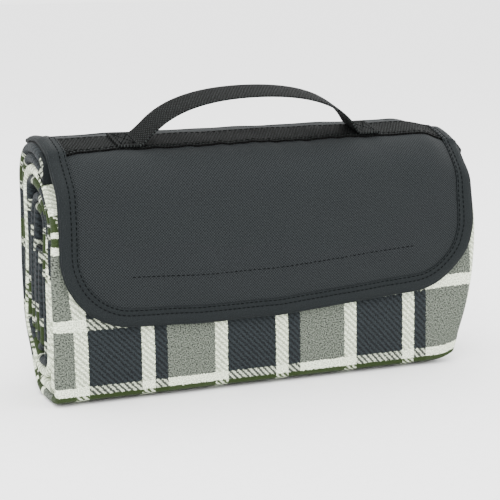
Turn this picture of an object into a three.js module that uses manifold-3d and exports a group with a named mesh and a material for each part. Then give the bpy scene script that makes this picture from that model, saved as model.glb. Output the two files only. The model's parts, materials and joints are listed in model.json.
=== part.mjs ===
// Roll-up camp blanket: fleece with a waterproof backing, folded in four across its width and rolled flat.
// A flap sewn to the outer end comes over the top and closes on the front with hook and loop tape, and a
// webbing band across the top carries the handle. Millimetres, +Z up, width along X, the flap faces -Y.
import * as THREE from 'three';
import Module from 'manifold-3d';
import { mergeVertices } from 'three/addons/utils/BufferGeometryUtils.js';

const wasm = await Module();
wasm.setup();

// ---- Driving dimensions -------------------------------------------------------------------------------

const CLEARANCE = 0.3; // between pieces that touch

const ROLL_WIDTH = 320; // along X, four plies wide
const ROLL_DEPTH = 82; // along Y, across the six legs of the roll
const ROLL_HEIGHT = 170; // to the top of the outer leg
const LEG_THICKNESS = 12; // four plies of fleece and backing, pressed
const LEG_GAP = 1; // air between two legs of the roll
const BACK_BOTTOM_RADIUS = 30; // middle line of the outer leg, at the back of the base
const FRONT_BOTTOM_RADIUS = 20; // middle line of the outer leg, at the front of the base
const BACK_TOP_RADIUS = 24; // middle line of the outer leg, over the back
const FRONT_TOP_RADIUS = 22; // middle line of the second leg, under the flap's shoulder
const TOP_SLOPE = 16; // degrees that the top falls towards the front
const TOP_KINK_Y = 6; // where the top starts to fall
const KINK_RADIUS = 12; // middle line of a leg, at that fall

const FOLD_WALL = 3.4; // fleece around the backing
const BACKING_SIDE = 8; // fleece beyond each side of the backing
const EDGE_TAPE = 0.8; // thickness of the binding on the blanket's cut ends
const EDGE_TAPE_WRAP = 11; // how far it reaches back over each face

const LINING = 0.8; // thickness of the flap's lining
const SHELL = 1.0; // thickness of the flap's outer cloth
const FLAP_SIDE = 6; // from each side of the roll to the flap's cloth
const FLAP_DROP_Z = 50; // height of the flap's bottom edge
const FLAP_CORNER = 46; // radius of its two bottom corners
const SHOULDER_RADIUS = 18; // inner face of the flap, where it turns down
const FLAP_BACK = 16; // the flap's back edge, behind the line where the top starts to fall
const BINDING = 0.8; // thickness of the binding tape
const BINDING_REACH = 9; // how far the binding covers the flap's face

const TAPE_WIDTH = 20; // hook and loop tape
const TAPE_THICKNESS = 1.2;
const TAPE_INSET = 4; // the tape's lower edge above the flap binding's inner edge

const WEBBING_WIDTH = 25;
const WEBBING = 1.6; // thickness of band and handle webbing
const BAND_FRONT = 6; // from the outer leg's end, back up the slope, to the band's front edge

const THREAD = 0.5; // height of a row of stitches above the webbing
const SEAM_WIDTH = 1.2; // a row of stitches
const TACK = 14; // side of the stitched square on each end of the handle

const HANDLE_CENTRE_X = -8; // the strap is sewn on a little to the left
const HANDLE_LENGTH_SEWN = 198; // end to end
const HANDLE_RISE = 31; // middle line of the webbing above the foot, at the top of the arch
const HANDLE_FOOT = 84; // half the span where the webbing leaves the band
const HANDLE_PULL = 8; // how far the foot's curve runs along the band
const HANDLE_HAUNCH = 74; // half span of the arch's upper control
const HANDLE_SPLIT = 71; // half span of the piece that leans
const HANDLE_PIVOT_RISE = 6; // height of the leaning axis above the band
const HANDLE_LEAN = 0; // degrees the arch stands back from square to the band

const ARC_STEPS = 8; // segments in each turn of an outline
const LEGS_PER_SIDE = 3;

// ---- Worked out ---------------------------------------------------------------------------------------

const RAD = Math.PI / 180;
const LEG_PITCH = LEG_THICKNESS + LEG_GAP;
const OUTER_LEG = ROLL_DEPTH / 2 - LEG_THICKNESS / 2; // half distance between the outer legs' middles
const FALL = Math.tan(TOP_SLOPE * RAD);
const ROLL_FRONT = -ROLL_DEPTH / 2;
const OUTER_END_Y = ROLL_FRONT + LEG_PITCH; // the outer leg ends over the second one's front
const FLAP_WIDTH = ROLL_WIDTH - 2 * FLAP_SIDE; // cloth, without its binding
const TAPE_LENGTH = FLAP_WIDTH - 2 * FLAP_CORNER; // the straight part of the flap's lower edge
const LINING_Y = ROLL_FRONT - 2 * TAPE_THICKNESS - 3 * CLEARANCE; // inner face of the hanging flap
const SHELL_OFFSET = LINING + CLEARANCE; // inner face of the shell, out from the lining's inner face
const FLAP_STACK = LINING + CLEARANCE + SHELL;
const FRONT_EXTENT = -LINING_Y + FLAP_STACK + CLEARANCE + BINDING;
const CENTRING = (FRONT_EXTENT - ROLL_DEPTH / 2) / 2; // brings the box's middle to Y = 0

// A turn or an end of an outline in the Y-Z plane.
const vertex = (y, z, radius = 0) => ({ y, z, radius });

// The top of the k-th layer inwards: level at the back, then falling to the front from its own kink.
function topLine(k) {
  const kinkY = TOP_KINK_Y + k * LEG_PITCH * Math.tan((TOP_SLOPE / 2) * RAD);
  const level = ROLL_HEIGHT - LEG_THICKNESS / 2 - k * LEG_PITCH;
  return { kinkY, level, at: (y) => level + (y - kinkY) * FALL };
}

// ---- Outline helpers ----------------------------------------------------------------------------------

// Points of a line through the vertices, with each turn drawn as an arc of its own radius.
function roundedPath(vertices) {
  const points = [new THREE.Vector2(vertices[0].y, vertices[0].z)];
  for (let i = 1; i < vertices.length - 1; i += 1) {
    const corner = new THREE.Vector2(vertices[i].y, vertices[i].z);
    const before = new THREE.Vector2(vertices[i - 1].y, vertices[i - 1].z).sub(corner).normalize();
    const after = new THREE.Vector2(vertices[i + 1].y, vertices[i + 1].z).sub(corner).normalize();
    const half = Math.acos(THREE.MathUtils.clamp(before.dot(after), -1, 1)) / 2;
    const radius = vertices[i].radius;
    const bisector = before.clone().add(after).normalize();
    const centre = corner.clone().addScaledVector(bisector, radius / Math.sin(half));
    const start = corner.clone().addScaledVector(before, radius / Math.tan(half)).sub(centre);
    const end = corner.clone().addScaledVector(after, radius / Math.tan(half)).sub(centre);
    const sweep = Math.atan2(start.cross(end), start.dot(end));
    for (let step = 0; step <= ARC_STEPS; step += 1) {
      const turned = start.clone().rotateAround(new THREE.Vector2(), (sweep * step) / ARC_STEPS);
      points.push(centre.clone().add(turned));
    }
  }
  const last = vertices[vertices.length - 1];
  points.push(new THREE.Vector2(last.y, last.z));
  return points;
}

// The path moved sideways: positive is to the left of its direction.
function offsetPath(points, distance) {
  return points.map((point, i) => {
    const before = points[Math.max(i - 1, 0)];
    const after = points[Math.min(i + 1, points.length - 1)];
    const incoming = (i === 0 ? after.clone().sub(point) : point.clone().sub(before)).normalize();
    const atEnd = i === points.length - 1;
    const outgoing = (atEnd ? point.clone().sub(before) : after.clone().sub(point)).normalize();
    const normal = new THREE.Vector2(-incoming.y - outgoing.y, incoming.x + outgoing.x).normalize();
    const mitre = 1 / normal.dot(new THREE.Vector2(-incoming.y, incoming.x));
    return point.clone().addScaledVector(normal, distance * mitre);
  });
}

// The closed outline between two offsets of a path.
function ribbon(points, from, to) {
  return new THREE.Shape([...offsetPath(points, to), ...offsetPath(points, from).reverse()]);
}

// The first or last stretch of a path, cut to a length.
function pathEnd(points, length, atStart) {
  const ordered = atStart ? points : [...points].reverse();
  const kept = [ordered[0]];
  let left = length;
  for (let i = 1; i < ordered.length && left > 0; i += 1) {
    const span = ordered[i].distanceTo(ordered[i - 1]);
    const share = Math.min(1, left / span);
    kept.push(ordered[i - 1].clone().lerp(ordered[i], share));
    left -= span;
  }
  return atStart ? kept : kept.reverse();
}

// The same path with its two ends moved out along their own directions; a negative length cuts them back.
function stretched(points, startLength, endLength) {
  const moved = points.map((point) => point.clone());
  const last = moved.length - 1;
  const startDirection = moved[0].clone().sub(moved[1]).normalize();
  const endDirection = moved[last].clone().sub(moved[last - 1]).normalize();
  moved[0].addScaledVector(startDirection, startLength);
  moved[last].addScaledVector(endDirection, endLength);
  return moved;
}

// ---- Solid helpers ------------------------------------------------------------------------------------

// A Y-Z outline drawn out along X, centred on X = 0.
function extrudeX(shape, width) {
  const geometry = new THREE.ExtrudeGeometry(shape, { depth: width, bevelEnabled: false });
  geometry.translate(0, 0, -width / 2);
  const axes = new THREE.Matrix4().makeBasis(
    new THREE.Vector3(0, 1, 0),
    new THREE.Vector3(0, 0, 1),
    new THREE.Vector3(1, 0, 0),
  );
  return geometry.applyMatrix4(axes);
}

// An X-Z outline drawn out along Y, centred on Y = 0.
function extrudeY(shape, depth) {
  const geometry = new THREE.ExtrudeGeometry(shape, { depth, bevelEnabled: false });
  geometry.translate(0, 0, -depth / 2);
  return geometry.rotateX(Math.PI / 2);
}

function box(width, depth, height, x, y, z) {
  return new THREE.BoxGeometry(width, depth, height).translate(x, y, z);
}

function toSolid(geometry) {
  const bare = geometry.clone();
  bare.deleteAttribute('normal');
  bare.deleteAttribute('uv');
  const merged = mergeVertices(bare, 1e-5);
  return new wasm.Manifold(new wasm.Mesh({
    numProp: 3,
    vertProperties: new Float32Array(merged.attributes.position.array),
    triVerts: new Uint32Array(merged.index.array),
  }));
}

function toGeometry(solid) {
  const mesh = solid.getMesh();
  const geometry = new THREE.BufferGeometry();
  const positions = new Float32Array(mesh.numVert * 3);
  for (let i = 0; i < mesh.numVert; i += 1) {
    for (let axis = 0; axis < 3; axis += 1) {
      positions[i * 3 + axis] = mesh.vertProperties[i * mesh.numProp + axis];
    }
  }
  geometry.setAttribute('position', new THREE.BufferAttribute(positions, 3));
  geometry.setIndex(Array.from(mesh.triVerts));
  geometry.computeVertexNormals();
  return geometry;
}

function cut(base, ...tools) {
  return toGeometry(tools.reduce((solid, tool) => solid.subtract(toSolid(tool)), toSolid(base)));
}

function common(first, second) {
  return toGeometry(toSolid(first).intersect(toSolid(second)));
}

// ---- Materials ----------------------------------------------------------------------------------------

function cloth(color, roughness) {
  return new THREE.MeshStandardMaterial({ color, roughness, metalness: 0 });
}

const fleeceMaterial = cloth('#868d86', 0.95);
const backingMaterial = cloth('#2b2d2f', 0.55);
const shellMaterial = cloth('#414546', 0.85);
const liningMaterial = cloth('#2f3233', 0.8);
const bindingMaterial = cloth('#3c4041', 0.8);
const webbingMaterial = cloth('#2c2f2f', 0.75);
const tapeMaterial = cloth('#26282a', 0.9);
const threadMaterial = cloth('#33383a', 0.7);

const root = new THREE.Group();
const placed = new THREE.Group();
placed.position.y = CENTRING;
root.add(placed);

function add(parent, name, geometry, material) {
  const mesh = new THREE.Mesh(geometry, material);
  mesh.name = name;
  parent.add(mesh);
  return mesh;
}

// ---- The blanket --------------------------------------------------------------------------------------

// The middle line of the roll, from its outer end on top, down the back, under, up the front and inwards.
function rollPath() {
  const tightest = LEG_THICKNESS / 2 + LEG_GAP;
  const vertices = [vertex(OUTER_END_Y, topLine(0).at(OUTER_END_Y))];
  for (let turn = 0; turn < LEGS_PER_SIDE; turn += 1) {
    const shrink = turn * LEG_PITCH;
    const half = OUTER_LEG - shrink;
    const top = topLine(turn);
    const bottom = LEG_THICKNESS / 2 + shrink;
    const radiusOf = (outer) => Math.min(half, Math.max(tightest, outer - shrink));
    const level = half - radiusOf(BACK_TOP_RADIUS);
    if (level > top.kinkY + KINK_RADIUS * Math.tan((TOP_SLOPE / 2) * RAD)) {
      vertices.push(vertex(top.kinkY, top.level, KINK_RADIUS));
      vertices.push(vertex(half, top.level, radiusOf(BACK_TOP_RADIUS)));
    } else {
      vertices.push(vertex(half, top.at(half), radiusOf(BACK_TOP_RADIUS)));
    }
    vertices.push(vertex(half, bottom, radiusOf(BACK_BOTTOM_RADIUS)));
    vertices.push(vertex(-half, bottom, radiusOf(FRONT_BOTTOM_RADIUS)));
    const inner = topLine(turn + 1).at(-half);
    if (turn + 1 < LEGS_PER_SIDE) {
      vertices.push(vertex(-half, inner, radiusOf(FRONT_TOP_RADIUS)));
    } else {
      vertices.push(vertex(-half, inner));
    }
  }
  return vertices;
}

const rollLine = roundedPath(rollPath());

// What is pressed away around one cut end of the blanket, so that its binding lies level with the cloth.
function bindingSeat(atStart) {
  const end = pathEnd(rollLine, EDGE_TAPE_WRAP + CLEARANCE, atStart);
  const seated = stretched(end, atStart ? CLEARANCE : 0, atStart ? 0 : CLEARANCE);
  const left = LEG_THICKNESS / 2 - EDGE_TAPE - CLEARANCE;
  const removed = extrudeX(ribbon(seated, -LEG_THICKNESS, LEG_THICKNESS), ROLL_WIDTH + 2);
  return cut(removed, extrudeX(ribbon(stretched(seated, 1, 1), -left, left), ROLL_WIDTH + 4));
}

function fleeceBlanket() {
  const outside = extrudeX(ribbon(rollLine, -LEG_THICKNESS / 2, LEG_THICKNESS / 2), ROLL_WIDTH);
  const slot = LEG_THICKNESS / 2 - FOLD_WALL;
  const hollowLine = stretched(rollLine, CLEARANCE, CLEARANCE);
  const inside = extrudeX(ribbon(hollowLine, -slot, slot), ROLL_WIDTH - 2 * BACKING_SIDE);
  return cut(outside, inside, bindingSeat(true), bindingSeat(false));
}

function waterproofBacking() {
  const half = LEG_THICKNESS / 2 - FOLD_WALL - CLEARANCE;
  return extrudeX(ribbon(rollLine, -half, half), ROLL_WIDTH - 2 * BACKING_SIDE - 2 * CLEARANCE);
}

// Tape folded over one cut end of the folded blanket.
function edgeBinding(atStart) {
  const wrapped = pathEnd(rollLine, EDGE_TAPE_WRAP, atStart);
  const over = CLEARANCE + EDGE_TAPE;
  const body = stretched(wrapped, atStart ? over : 0, atStart ? 0 : over);
  const channel = stretched(wrapped, CLEARANCE, CLEARANCE);
  const room = LEG_THICKNESS / 2 - EDGE_TAPE;
  const tape = extrudeX(ribbon(body, -LEG_THICKNESS / 2, LEG_THICKNESS / 2), ROLL_WIDTH);
  return cut(tape, extrudeX(ribbon(channel, -room, room), ROLL_WIDTH + 2));
}

// ---- The flap -----------------------------------------------------------------------------------------

// The flap's inner face: along the sloping top, over the shoulder and down the front. Its top stretch is
// kept apart from the hanging one, so that the flap can turn about the line where it starts to hang.
const SLOPE_DIRECTION = new THREE.Vector2(Math.cos(TOP_SLOPE * RAD), Math.sin(TOP_SLOPE * RAD));
const SLOPE_NORMAL = new THREE.Vector2(-SLOPE_DIRECTION.y, SLOPE_DIRECTION.x);

// A point on the flap's inner face at a given y, on the slope.
function slopePoint(y) {
  const foot = new THREE.Vector2(y, topLine(0).at(y));
  return foot.addScaledVector(SLOPE_NORMAL, LEG_THICKNESS / 2 + CLEARANCE + BINDING + CLEARANCE);
}

// Where the sloping face, drawn on, meets the hanging one.
function shoulderCorner() {
  const from = slopePoint(OUTER_END_Y);
  const run = from.x - LINING_Y;
  return vertex(LINING_Y, from.y - run * FALL, SHOULDER_RADIUS);
}

const shoulder = shoulderCorner();
const shoulderTurn = (90 - TOP_SLOPE) * RAD;
const hangFrom = shoulder.z - SHOULDER_RADIUS * Math.tan(shoulderTurn / 2); // where it starts to hang
const topLineOfFlap = roundedPath([
  vertex(TOP_KINK_Y + FLAP_BACK, ROLL_HEIGHT + 2 * CLEARANCE + BINDING),
  vertex(TOP_KINK_Y, ROLL_HEIGHT + 2 * CLEARANCE + BINDING, KINK_RADIUS + LEG_THICKNESS),
  shoulder,
  vertex(LINING_Y, FLAP_DROP_Z),
]).slice(0, -1).reverse(); // from where it starts to hang, up and back

// The flap seen from the front: straight above, with two rounded corners below.
function flapOutline(inset, top, corner = FLAP_CORNER) {
  const half = FLAP_WIDTH / 2 - inset;
  const bottom = FLAP_DROP_Z + inset;
  const radius = Math.max(corner - inset, 1);
  const shape = new THREE.Shape();
  shape.moveTo(half, top);
  shape.lineTo(-half, top);
  shape.lineTo(-half, bottom + radius);
  shape.absarc(-half + radius, bottom + radius, radius, Math.PI, 1.5 * Math.PI, false);
  shape.absarc(half - radius, bottom + radius, radius, 1.5 * Math.PI, 2 * Math.PI, false);
  shape.closePath();
  return shape;
}

// A sheet of the hanging flap: its outline drawn out from one y to another, both in front of the roll.
function hangingSheet(inset, from, to, top = hangFrom - CLEARANCE) {
  const sheet = extrudeY(flapOutline(inset, top), to - from);
  return sheet.translate(0, LINING_Y - (from + to) / 2, 0);
}

function topSheet(from, to, width) {
  return extrudeX(ribbon(topLineOfFlap, from, to), width);
}

// Binding over the flap's hanging edges: a channel that leaves the middle of both faces open.
function hangingBinding() {
  const around = BINDING + CLEARANCE;
  const tape = hangingSheet(-around, -around, FLAP_STACK + around);
  const channel = hangingSheet(-CLEARANCE, -CLEARANCE, FLAP_STACK + CLEARANCE, hangFrom);
  const window = hangingSheet(BINDING_REACH, -2 * around, FLAP_STACK + 2 * around, hangFrom);
  return cut(tape, channel, window);
}

// Binding over one side of the flap's top stretch, on the side of the given sign.
function topBinding(side) {
  const around = BINDING + CLEARANCE;
  const width = BINDING_REACH + around;
  const line = stretched(topLineOfFlap, -CLEARANCE, -CLEARANCE);
  const tape = extrudeX(ribbon(line, -around, FLAP_STACK + around), width);
  const channel = extrudeX(ribbon(topLineOfFlap, -CLEARANCE, FLAP_STACK + CLEARANCE), width);
  const outer = FLAP_WIDTH / 2 + around;
  tape.translate(side * (outer - width / 2), 0, 0);
  channel.translate(side * (outer - width / 2 - BINDING), 0, 0);
  return cut(tape, channel);
}

// ---- Hook and loop tape -------------------------------------------------------------------------------

function closureTape(y) {
  const z = FLAP_DROP_Z + BINDING_REACH + TAPE_INSET + TAPE_WIDTH / 2;
  return box(TAPE_LENGTH, TAPE_THICKNESS, TAPE_WIDTH, 0, y, z);
}

// ---- Band and handle ----------------------------------------------------------------------------------

// The band's own frame: origin at its middle, on its outer face, X along the roll, Y back up the slope.
const bandFrame = new THREE.Group();
const bandMiddle = slopePoint(OUTER_END_Y)
  .addScaledVector(SLOPE_DIRECTION, BAND_FRONT + WEBBING_WIDTH / 2)
  .addScaledVector(SLOPE_NORMAL, FLAP_STACK + CLEARANCE + BINDING + CLEARANCE + WEBBING);
bandFrame.position.set(0, bandMiddle.x, bandMiddle.y);
bandFrame.rotation.x = TOP_SLOPE * RAD;
placed.add(bandFrame);

function anchorBand() {
  return box(FLAP_WIDTH, WEBBING_WIDTH, WEBBING, 0, 0, -WEBBING / 2);
}

// The square of stitches that holds one end of the handle to the band.
function handleTack(side) {
  const z = CLEARANCE + WEBBING + CLEARANCE + THREAD / 2;
  const x = side * (HANDLE_LENGTH_SEWN / 2 - TACK / 2 - SEAM_WIDTH);
  const inner = TACK - 2 * SEAM_WIDTH;
  return cut(box(TACK, TACK, THREAD, x, 0, z), box(inner, inner, 2 * THREAD, x, 0, z));
}

// The handle's middle line from one sewn end to the other, seen from the front, above the band's face.
function handleLine() {
  const flat = CLEARANCE + WEBBING / 2;
  const top = flat + HANDLE_RISE;
  const rise = new THREE.CubicBezierCurve(
    new THREE.Vector2(-HANDLE_FOOT, flat),
    new THREE.Vector2(-HANDLE_FOOT + HANDLE_PULL, flat),
    new THREE.Vector2(-HANDLE_HAUNCH, top),
    new THREE.Vector2(0, top),
  ).getPoints(2 * ARC_STEPS);
  const left = [new THREE.Vector2(-HANDLE_LENGTH_SEWN / 2, flat), ...rise];
  const right = left.slice(0, -1).reverse().map((point) => new THREE.Vector2(-point.x, point.y));
  return [...left, ...right];
}

const handleWhole = extrudeY(ribbon(handleLine(), -WEBBING / 2, WEBBING / 2), WEBBING_WIDTH);

// The arch between the two splits, measured from the axis it leans about.
function handleArch() {
  const span = 2 * (HANDLE_SPLIT - CLEARANCE);
  const room = box(span, 2 * WEBBING_WIDTH, 4 * HANDLE_RISE, 0, 0, 0);
  return common(handleWhole, room).translate(0, 0, -HANDLE_PIVOT_RISE);
}

function handleEnd(side) {
  const span = HANDLE_LENGTH_SEWN / 2 - HANDLE_SPLIT;
  const room = box(span, 2 * WEBBING_WIDTH, 4 * HANDLE_RISE, side * (HANDLE_SPLIT + span / 2), 0, 0);
  return common(handleWhole, room);
}

// ---- Assembly -----------------------------------------------------------------------------------------

add(placed, 'fleece_blanket', fleeceBlanket(), fleeceMaterial);
add(placed, 'waterproof_backing', waterproofBacking(), backingMaterial);
add(placed, 'edge_binding_outer', edgeBinding(true), bindingMaterial);
add(placed, 'edge_binding_inner', edgeBinding(false), bindingMaterial);

add(placed, 'flap_top_lining', topSheet(0, LINING, FLAP_WIDTH), liningMaterial);
add(placed, 'flap_top_shell', topSheet(SHELL_OFFSET, FLAP_STACK, FLAP_WIDTH), shellMaterial);
add(placed, 'flap_top_binding_left', topBinding(-1), bindingMaterial);
add(placed, 'flap_top_binding_right', topBinding(1), bindingMaterial);
add(placed, 'flap_lining', hangingSheet(0, 0, LINING), liningMaterial);
add(placed, 'flap_shell', hangingSheet(0, SHELL_OFFSET, FLAP_STACK), shellMaterial);
add(placed, 'flap_binding', hangingBinding(), bindingMaterial);

add(placed, 'loop_tape', closureTape(ROLL_FRONT - CLEARANCE - TAPE_THICKNESS / 2), tapeMaterial);
add(placed, 'hook_tape', closureTape(LINING_Y + CLEARANCE + TAPE_THICKNESS / 2), tapeMaterial);

add(bandFrame, 'anchor_band', anchorBand(), webbingMaterial);
add(bandFrame, 'handle_end_left', handleEnd(-1), webbingMaterial).position.x = HANDLE_CENTRE_X;
add(bandFrame, 'handle_end_right', handleEnd(1), webbingMaterial).position.x = HANDLE_CENTRE_X;
add(bandFrame, 'handle_tack_left', handleTack(-1), threadMaterial).position.x = HANDLE_CENTRE_X;
add(bandFrame, 'handle_tack_right', handleTack(1), threadMaterial).position.x = HANDLE_CENTRE_X;
const arch = add(bandFrame, 'handle_arch', handleArch(), webbingMaterial);
arch.position.set(HANDLE_CENTRE_X, 0, HANDLE_PIVOT_RISE);
arch.rotation.x = -HANDLE_LEAN * RAD;

export default root;
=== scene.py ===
"""Roll-up camp blanket: the looks of the rolled bundle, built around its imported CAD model."""

import json
import logging
import math
from dataclasses import dataclass, field
from enum import Enum
from typing import Sequence

import bpy
import numpy as np
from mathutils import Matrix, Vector


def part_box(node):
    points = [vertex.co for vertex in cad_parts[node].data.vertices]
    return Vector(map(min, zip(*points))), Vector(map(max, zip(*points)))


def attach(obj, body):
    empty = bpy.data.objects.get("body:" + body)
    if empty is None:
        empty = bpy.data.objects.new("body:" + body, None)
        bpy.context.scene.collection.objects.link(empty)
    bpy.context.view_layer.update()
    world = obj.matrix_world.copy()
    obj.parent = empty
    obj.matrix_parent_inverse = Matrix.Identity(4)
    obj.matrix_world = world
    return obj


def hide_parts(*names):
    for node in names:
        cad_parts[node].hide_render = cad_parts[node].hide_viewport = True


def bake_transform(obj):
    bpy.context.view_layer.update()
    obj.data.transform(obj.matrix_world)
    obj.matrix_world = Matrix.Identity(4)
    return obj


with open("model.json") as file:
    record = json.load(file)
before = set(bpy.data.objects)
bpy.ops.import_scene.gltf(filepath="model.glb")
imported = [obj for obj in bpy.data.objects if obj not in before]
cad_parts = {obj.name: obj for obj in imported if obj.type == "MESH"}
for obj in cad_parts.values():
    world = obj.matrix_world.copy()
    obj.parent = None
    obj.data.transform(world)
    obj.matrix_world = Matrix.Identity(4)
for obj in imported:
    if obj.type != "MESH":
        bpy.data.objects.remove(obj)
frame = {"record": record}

log = logging.getLogger("camp_blanket")

MM = 0.001
Array = np.ndarray


class Body(str, Enum):
    """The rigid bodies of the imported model."""

    ROLL = "roll"
    FLAP = "flap"
    HANDLE = "handle"


# ---- Small numeric helpers ----------------------------------------------------------------------------


def ease(value: Array | float) -> Array:
    """Returns value held to 0..1 and eased at both ends."""
    held = np.clip(value, 0.0, 1.0)
    return held * held * (3.0 - 2.0 * held)


def unit(vectors: Array) -> Array:
    """Returns the vectors at length 1, along their last axis."""
    return vectors / np.maximum(np.linalg.norm(vectors, axis=-1, keepdims=True), 1e-12)


def ripple(first: Array, second: Array, wavelength: float, seed: int) -> Array:
    """Smooth uneven waves, between about -1 and 1, the same on every run.

    Args:
        first: one coordinate, in metres.
        second: the other coordinate, in metres.
        wavelength: typical distance between two crests, in metres.
        seed: picks the set of waves.

    Returns:
        The height of the waves at each point.
    """
    draw = np.random.default_rng(seed)
    total = np.zeros(np.broadcast(first, second).shape)
    waves = 6
    for _ in range(waves):
        angle = draw.uniform(0, math.tau)
        length = wavelength * draw.uniform(0.6, 1.7)
        along = (first * math.cos(angle) + second * math.sin(angle)) / length
        total = total + np.sin(math.tau * along + draw.uniform(0, math.tau))
    return total / math.sqrt(waves)


# ---- Outlines across the roll -------------------------------------------------------------------------


@dataclass(frozen=True)
class Edge:
    """A straight run of the roll's outer layer, as its middle line in the Y-Z plane."""

    y: float
    z: float
    heading: float  # degrees from +Y towards +Z

    def inset(self, depth: float) -> "Edge":
        """Returns the same run one or more layers further in, where depth is the distance."""
        turn = math.radians(self.heading)
        return Edge(self.y + depth * math.sin(turn), self.z - depth * math.cos(turn), self.heading)

    def meets(self, other: "Edge") -> tuple[float, float]:
        """Returns the point where this run, drawn on, crosses the other.

        Args:
            other: the run to cross.

        Returns:
            The y and z of the crossing, in metres.
        """
        a, b = math.radians(self.heading), math.radians(other.heading)
        matrix = np.array([[math.cos(a), -math.cos(b)], [math.sin(a), -math.sin(b)]])
        along = np.linalg.solve(matrix, np.array([other.y - self.y, other.z - self.z]))[0]
        return self.y + along * math.cos(a), self.z + along * math.sin(a)


class Outline:
    """A line in the Y-Z plane with rounded turns, read by the distance along it."""

    def __init__(self, corners: Sequence[tuple[float, float, float]], outward: float = 1.0) -> None:
        """Draws the line.

        Args:
            corners: (y, z, radius) of each corner; the first and last are the line's ends.
            outward: 1 when outside is on the left of the line's direction, -1 on its right.
        """
        points = [np.array(corners[0][:2])]
        for before, corner, after in zip(corners, corners[1:], corners[2:]):
            points.extend(self._turn(np.array(before[:2]), corner, np.array(after[:2])))
        points.append(np.array(corners[-1][:2]))
        dense = np.array(points)
        length = np.concatenate([[0.0], np.cumsum(np.linalg.norm(np.diff(dense, axis=0), axis=1))])
        keep = np.concatenate([[True], np.diff(length) > 1e-7])
        self.length = float(length[-1])
        self._along = length[keep]
        self._points = dense[keep]
        self._outward = outward

    @staticmethod
    def _turn(before: Array, corner: tuple[float, float, float], after: Array, steps: int = 14) -> list[Array]:
        """Rounds one corner.

        Args:
            before: the corner before it, (y, z).
            corner: its y, z and radius.
            after: the corner after it, (y, z).
            steps: number of chords in the arc.

        Returns:
            The points of the arc, between its neighbours.
        """
        at = np.array(corner[:2])
        back, ahead = unit(before - at), unit(after - at)
        half = math.acos(float(np.clip(back @ ahead, -1, 1))) / 2
        centre = at + unit(back + ahead) * corner[2] / math.sin(half)
        start = at + back * corner[2] / math.tan(half) - centre
        end = at + ahead * corner[2] / math.tan(half) - centre
        sweep = math.atan2(start[0] * end[1] - start[1] * end[0], float(start @ end))
        arc = []
        for angle in np.linspace(0, sweep, steps + 1):
            cos, sin = math.cos(angle), math.sin(angle)
            arc.append(centre + np.array([start[0] * cos - start[1] * sin, start[0] * sin + start[1] * cos]))
        return arc

    def point(self, along: Array) -> Array:
        """Reads the line; beyond an end it runs straight on.

        Args:
            along: distances along the line, in metres.

        Returns:
            The (y, z) points at these distances.
        """
        first, last = self._points[0], self._points[-1]
        y = np.interp(along, self._along, self._points[:, 0])
        z = np.interp(along, self._along, self._points[:, 1])
        start = unit(self._points[1] - first)
        end = unit(last - self._points[-2])
        under = np.minimum(along, 0.0)
        over = np.maximum(along - self.length, 0.0)
        y = y + under * start[0] + over * end[0]
        z = z + under * start[1] + over * end[1]
        return np.stack([y, z], axis=-1)

    def normal(self, along: Array, reach: float = 1.2 * MM) -> Array:
        """Returns the outward (y, z) directions at these distances, smoothed over twice the reach."""
        tangent = unit(self.point(along + reach) - self.point(along - reach))
        return self._outward * np.stack([-tangent[..., 1], tangent[..., 0]], axis=-1)

    def at_height(self, z: float, front: bool = True) -> float:
        """Finds the outermost point of the line at one height.

        Args:
            z: the height, in metres.
            front: whether to look on the front or on the back.

        Returns:
            The distance along to that point.
        """
        along = np.linspace(0, self.length, 4000)
        points = self.point(along)
        near = np.abs(points[:, 1] - z) < 0.6 * MM
        order = points[:, 0] if front else -points[:, 0]
        return float(along[np.argmin(np.where(near, order, np.inf))])


# ---- Meshes -------------------------------------------------------------------------------------------


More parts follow.
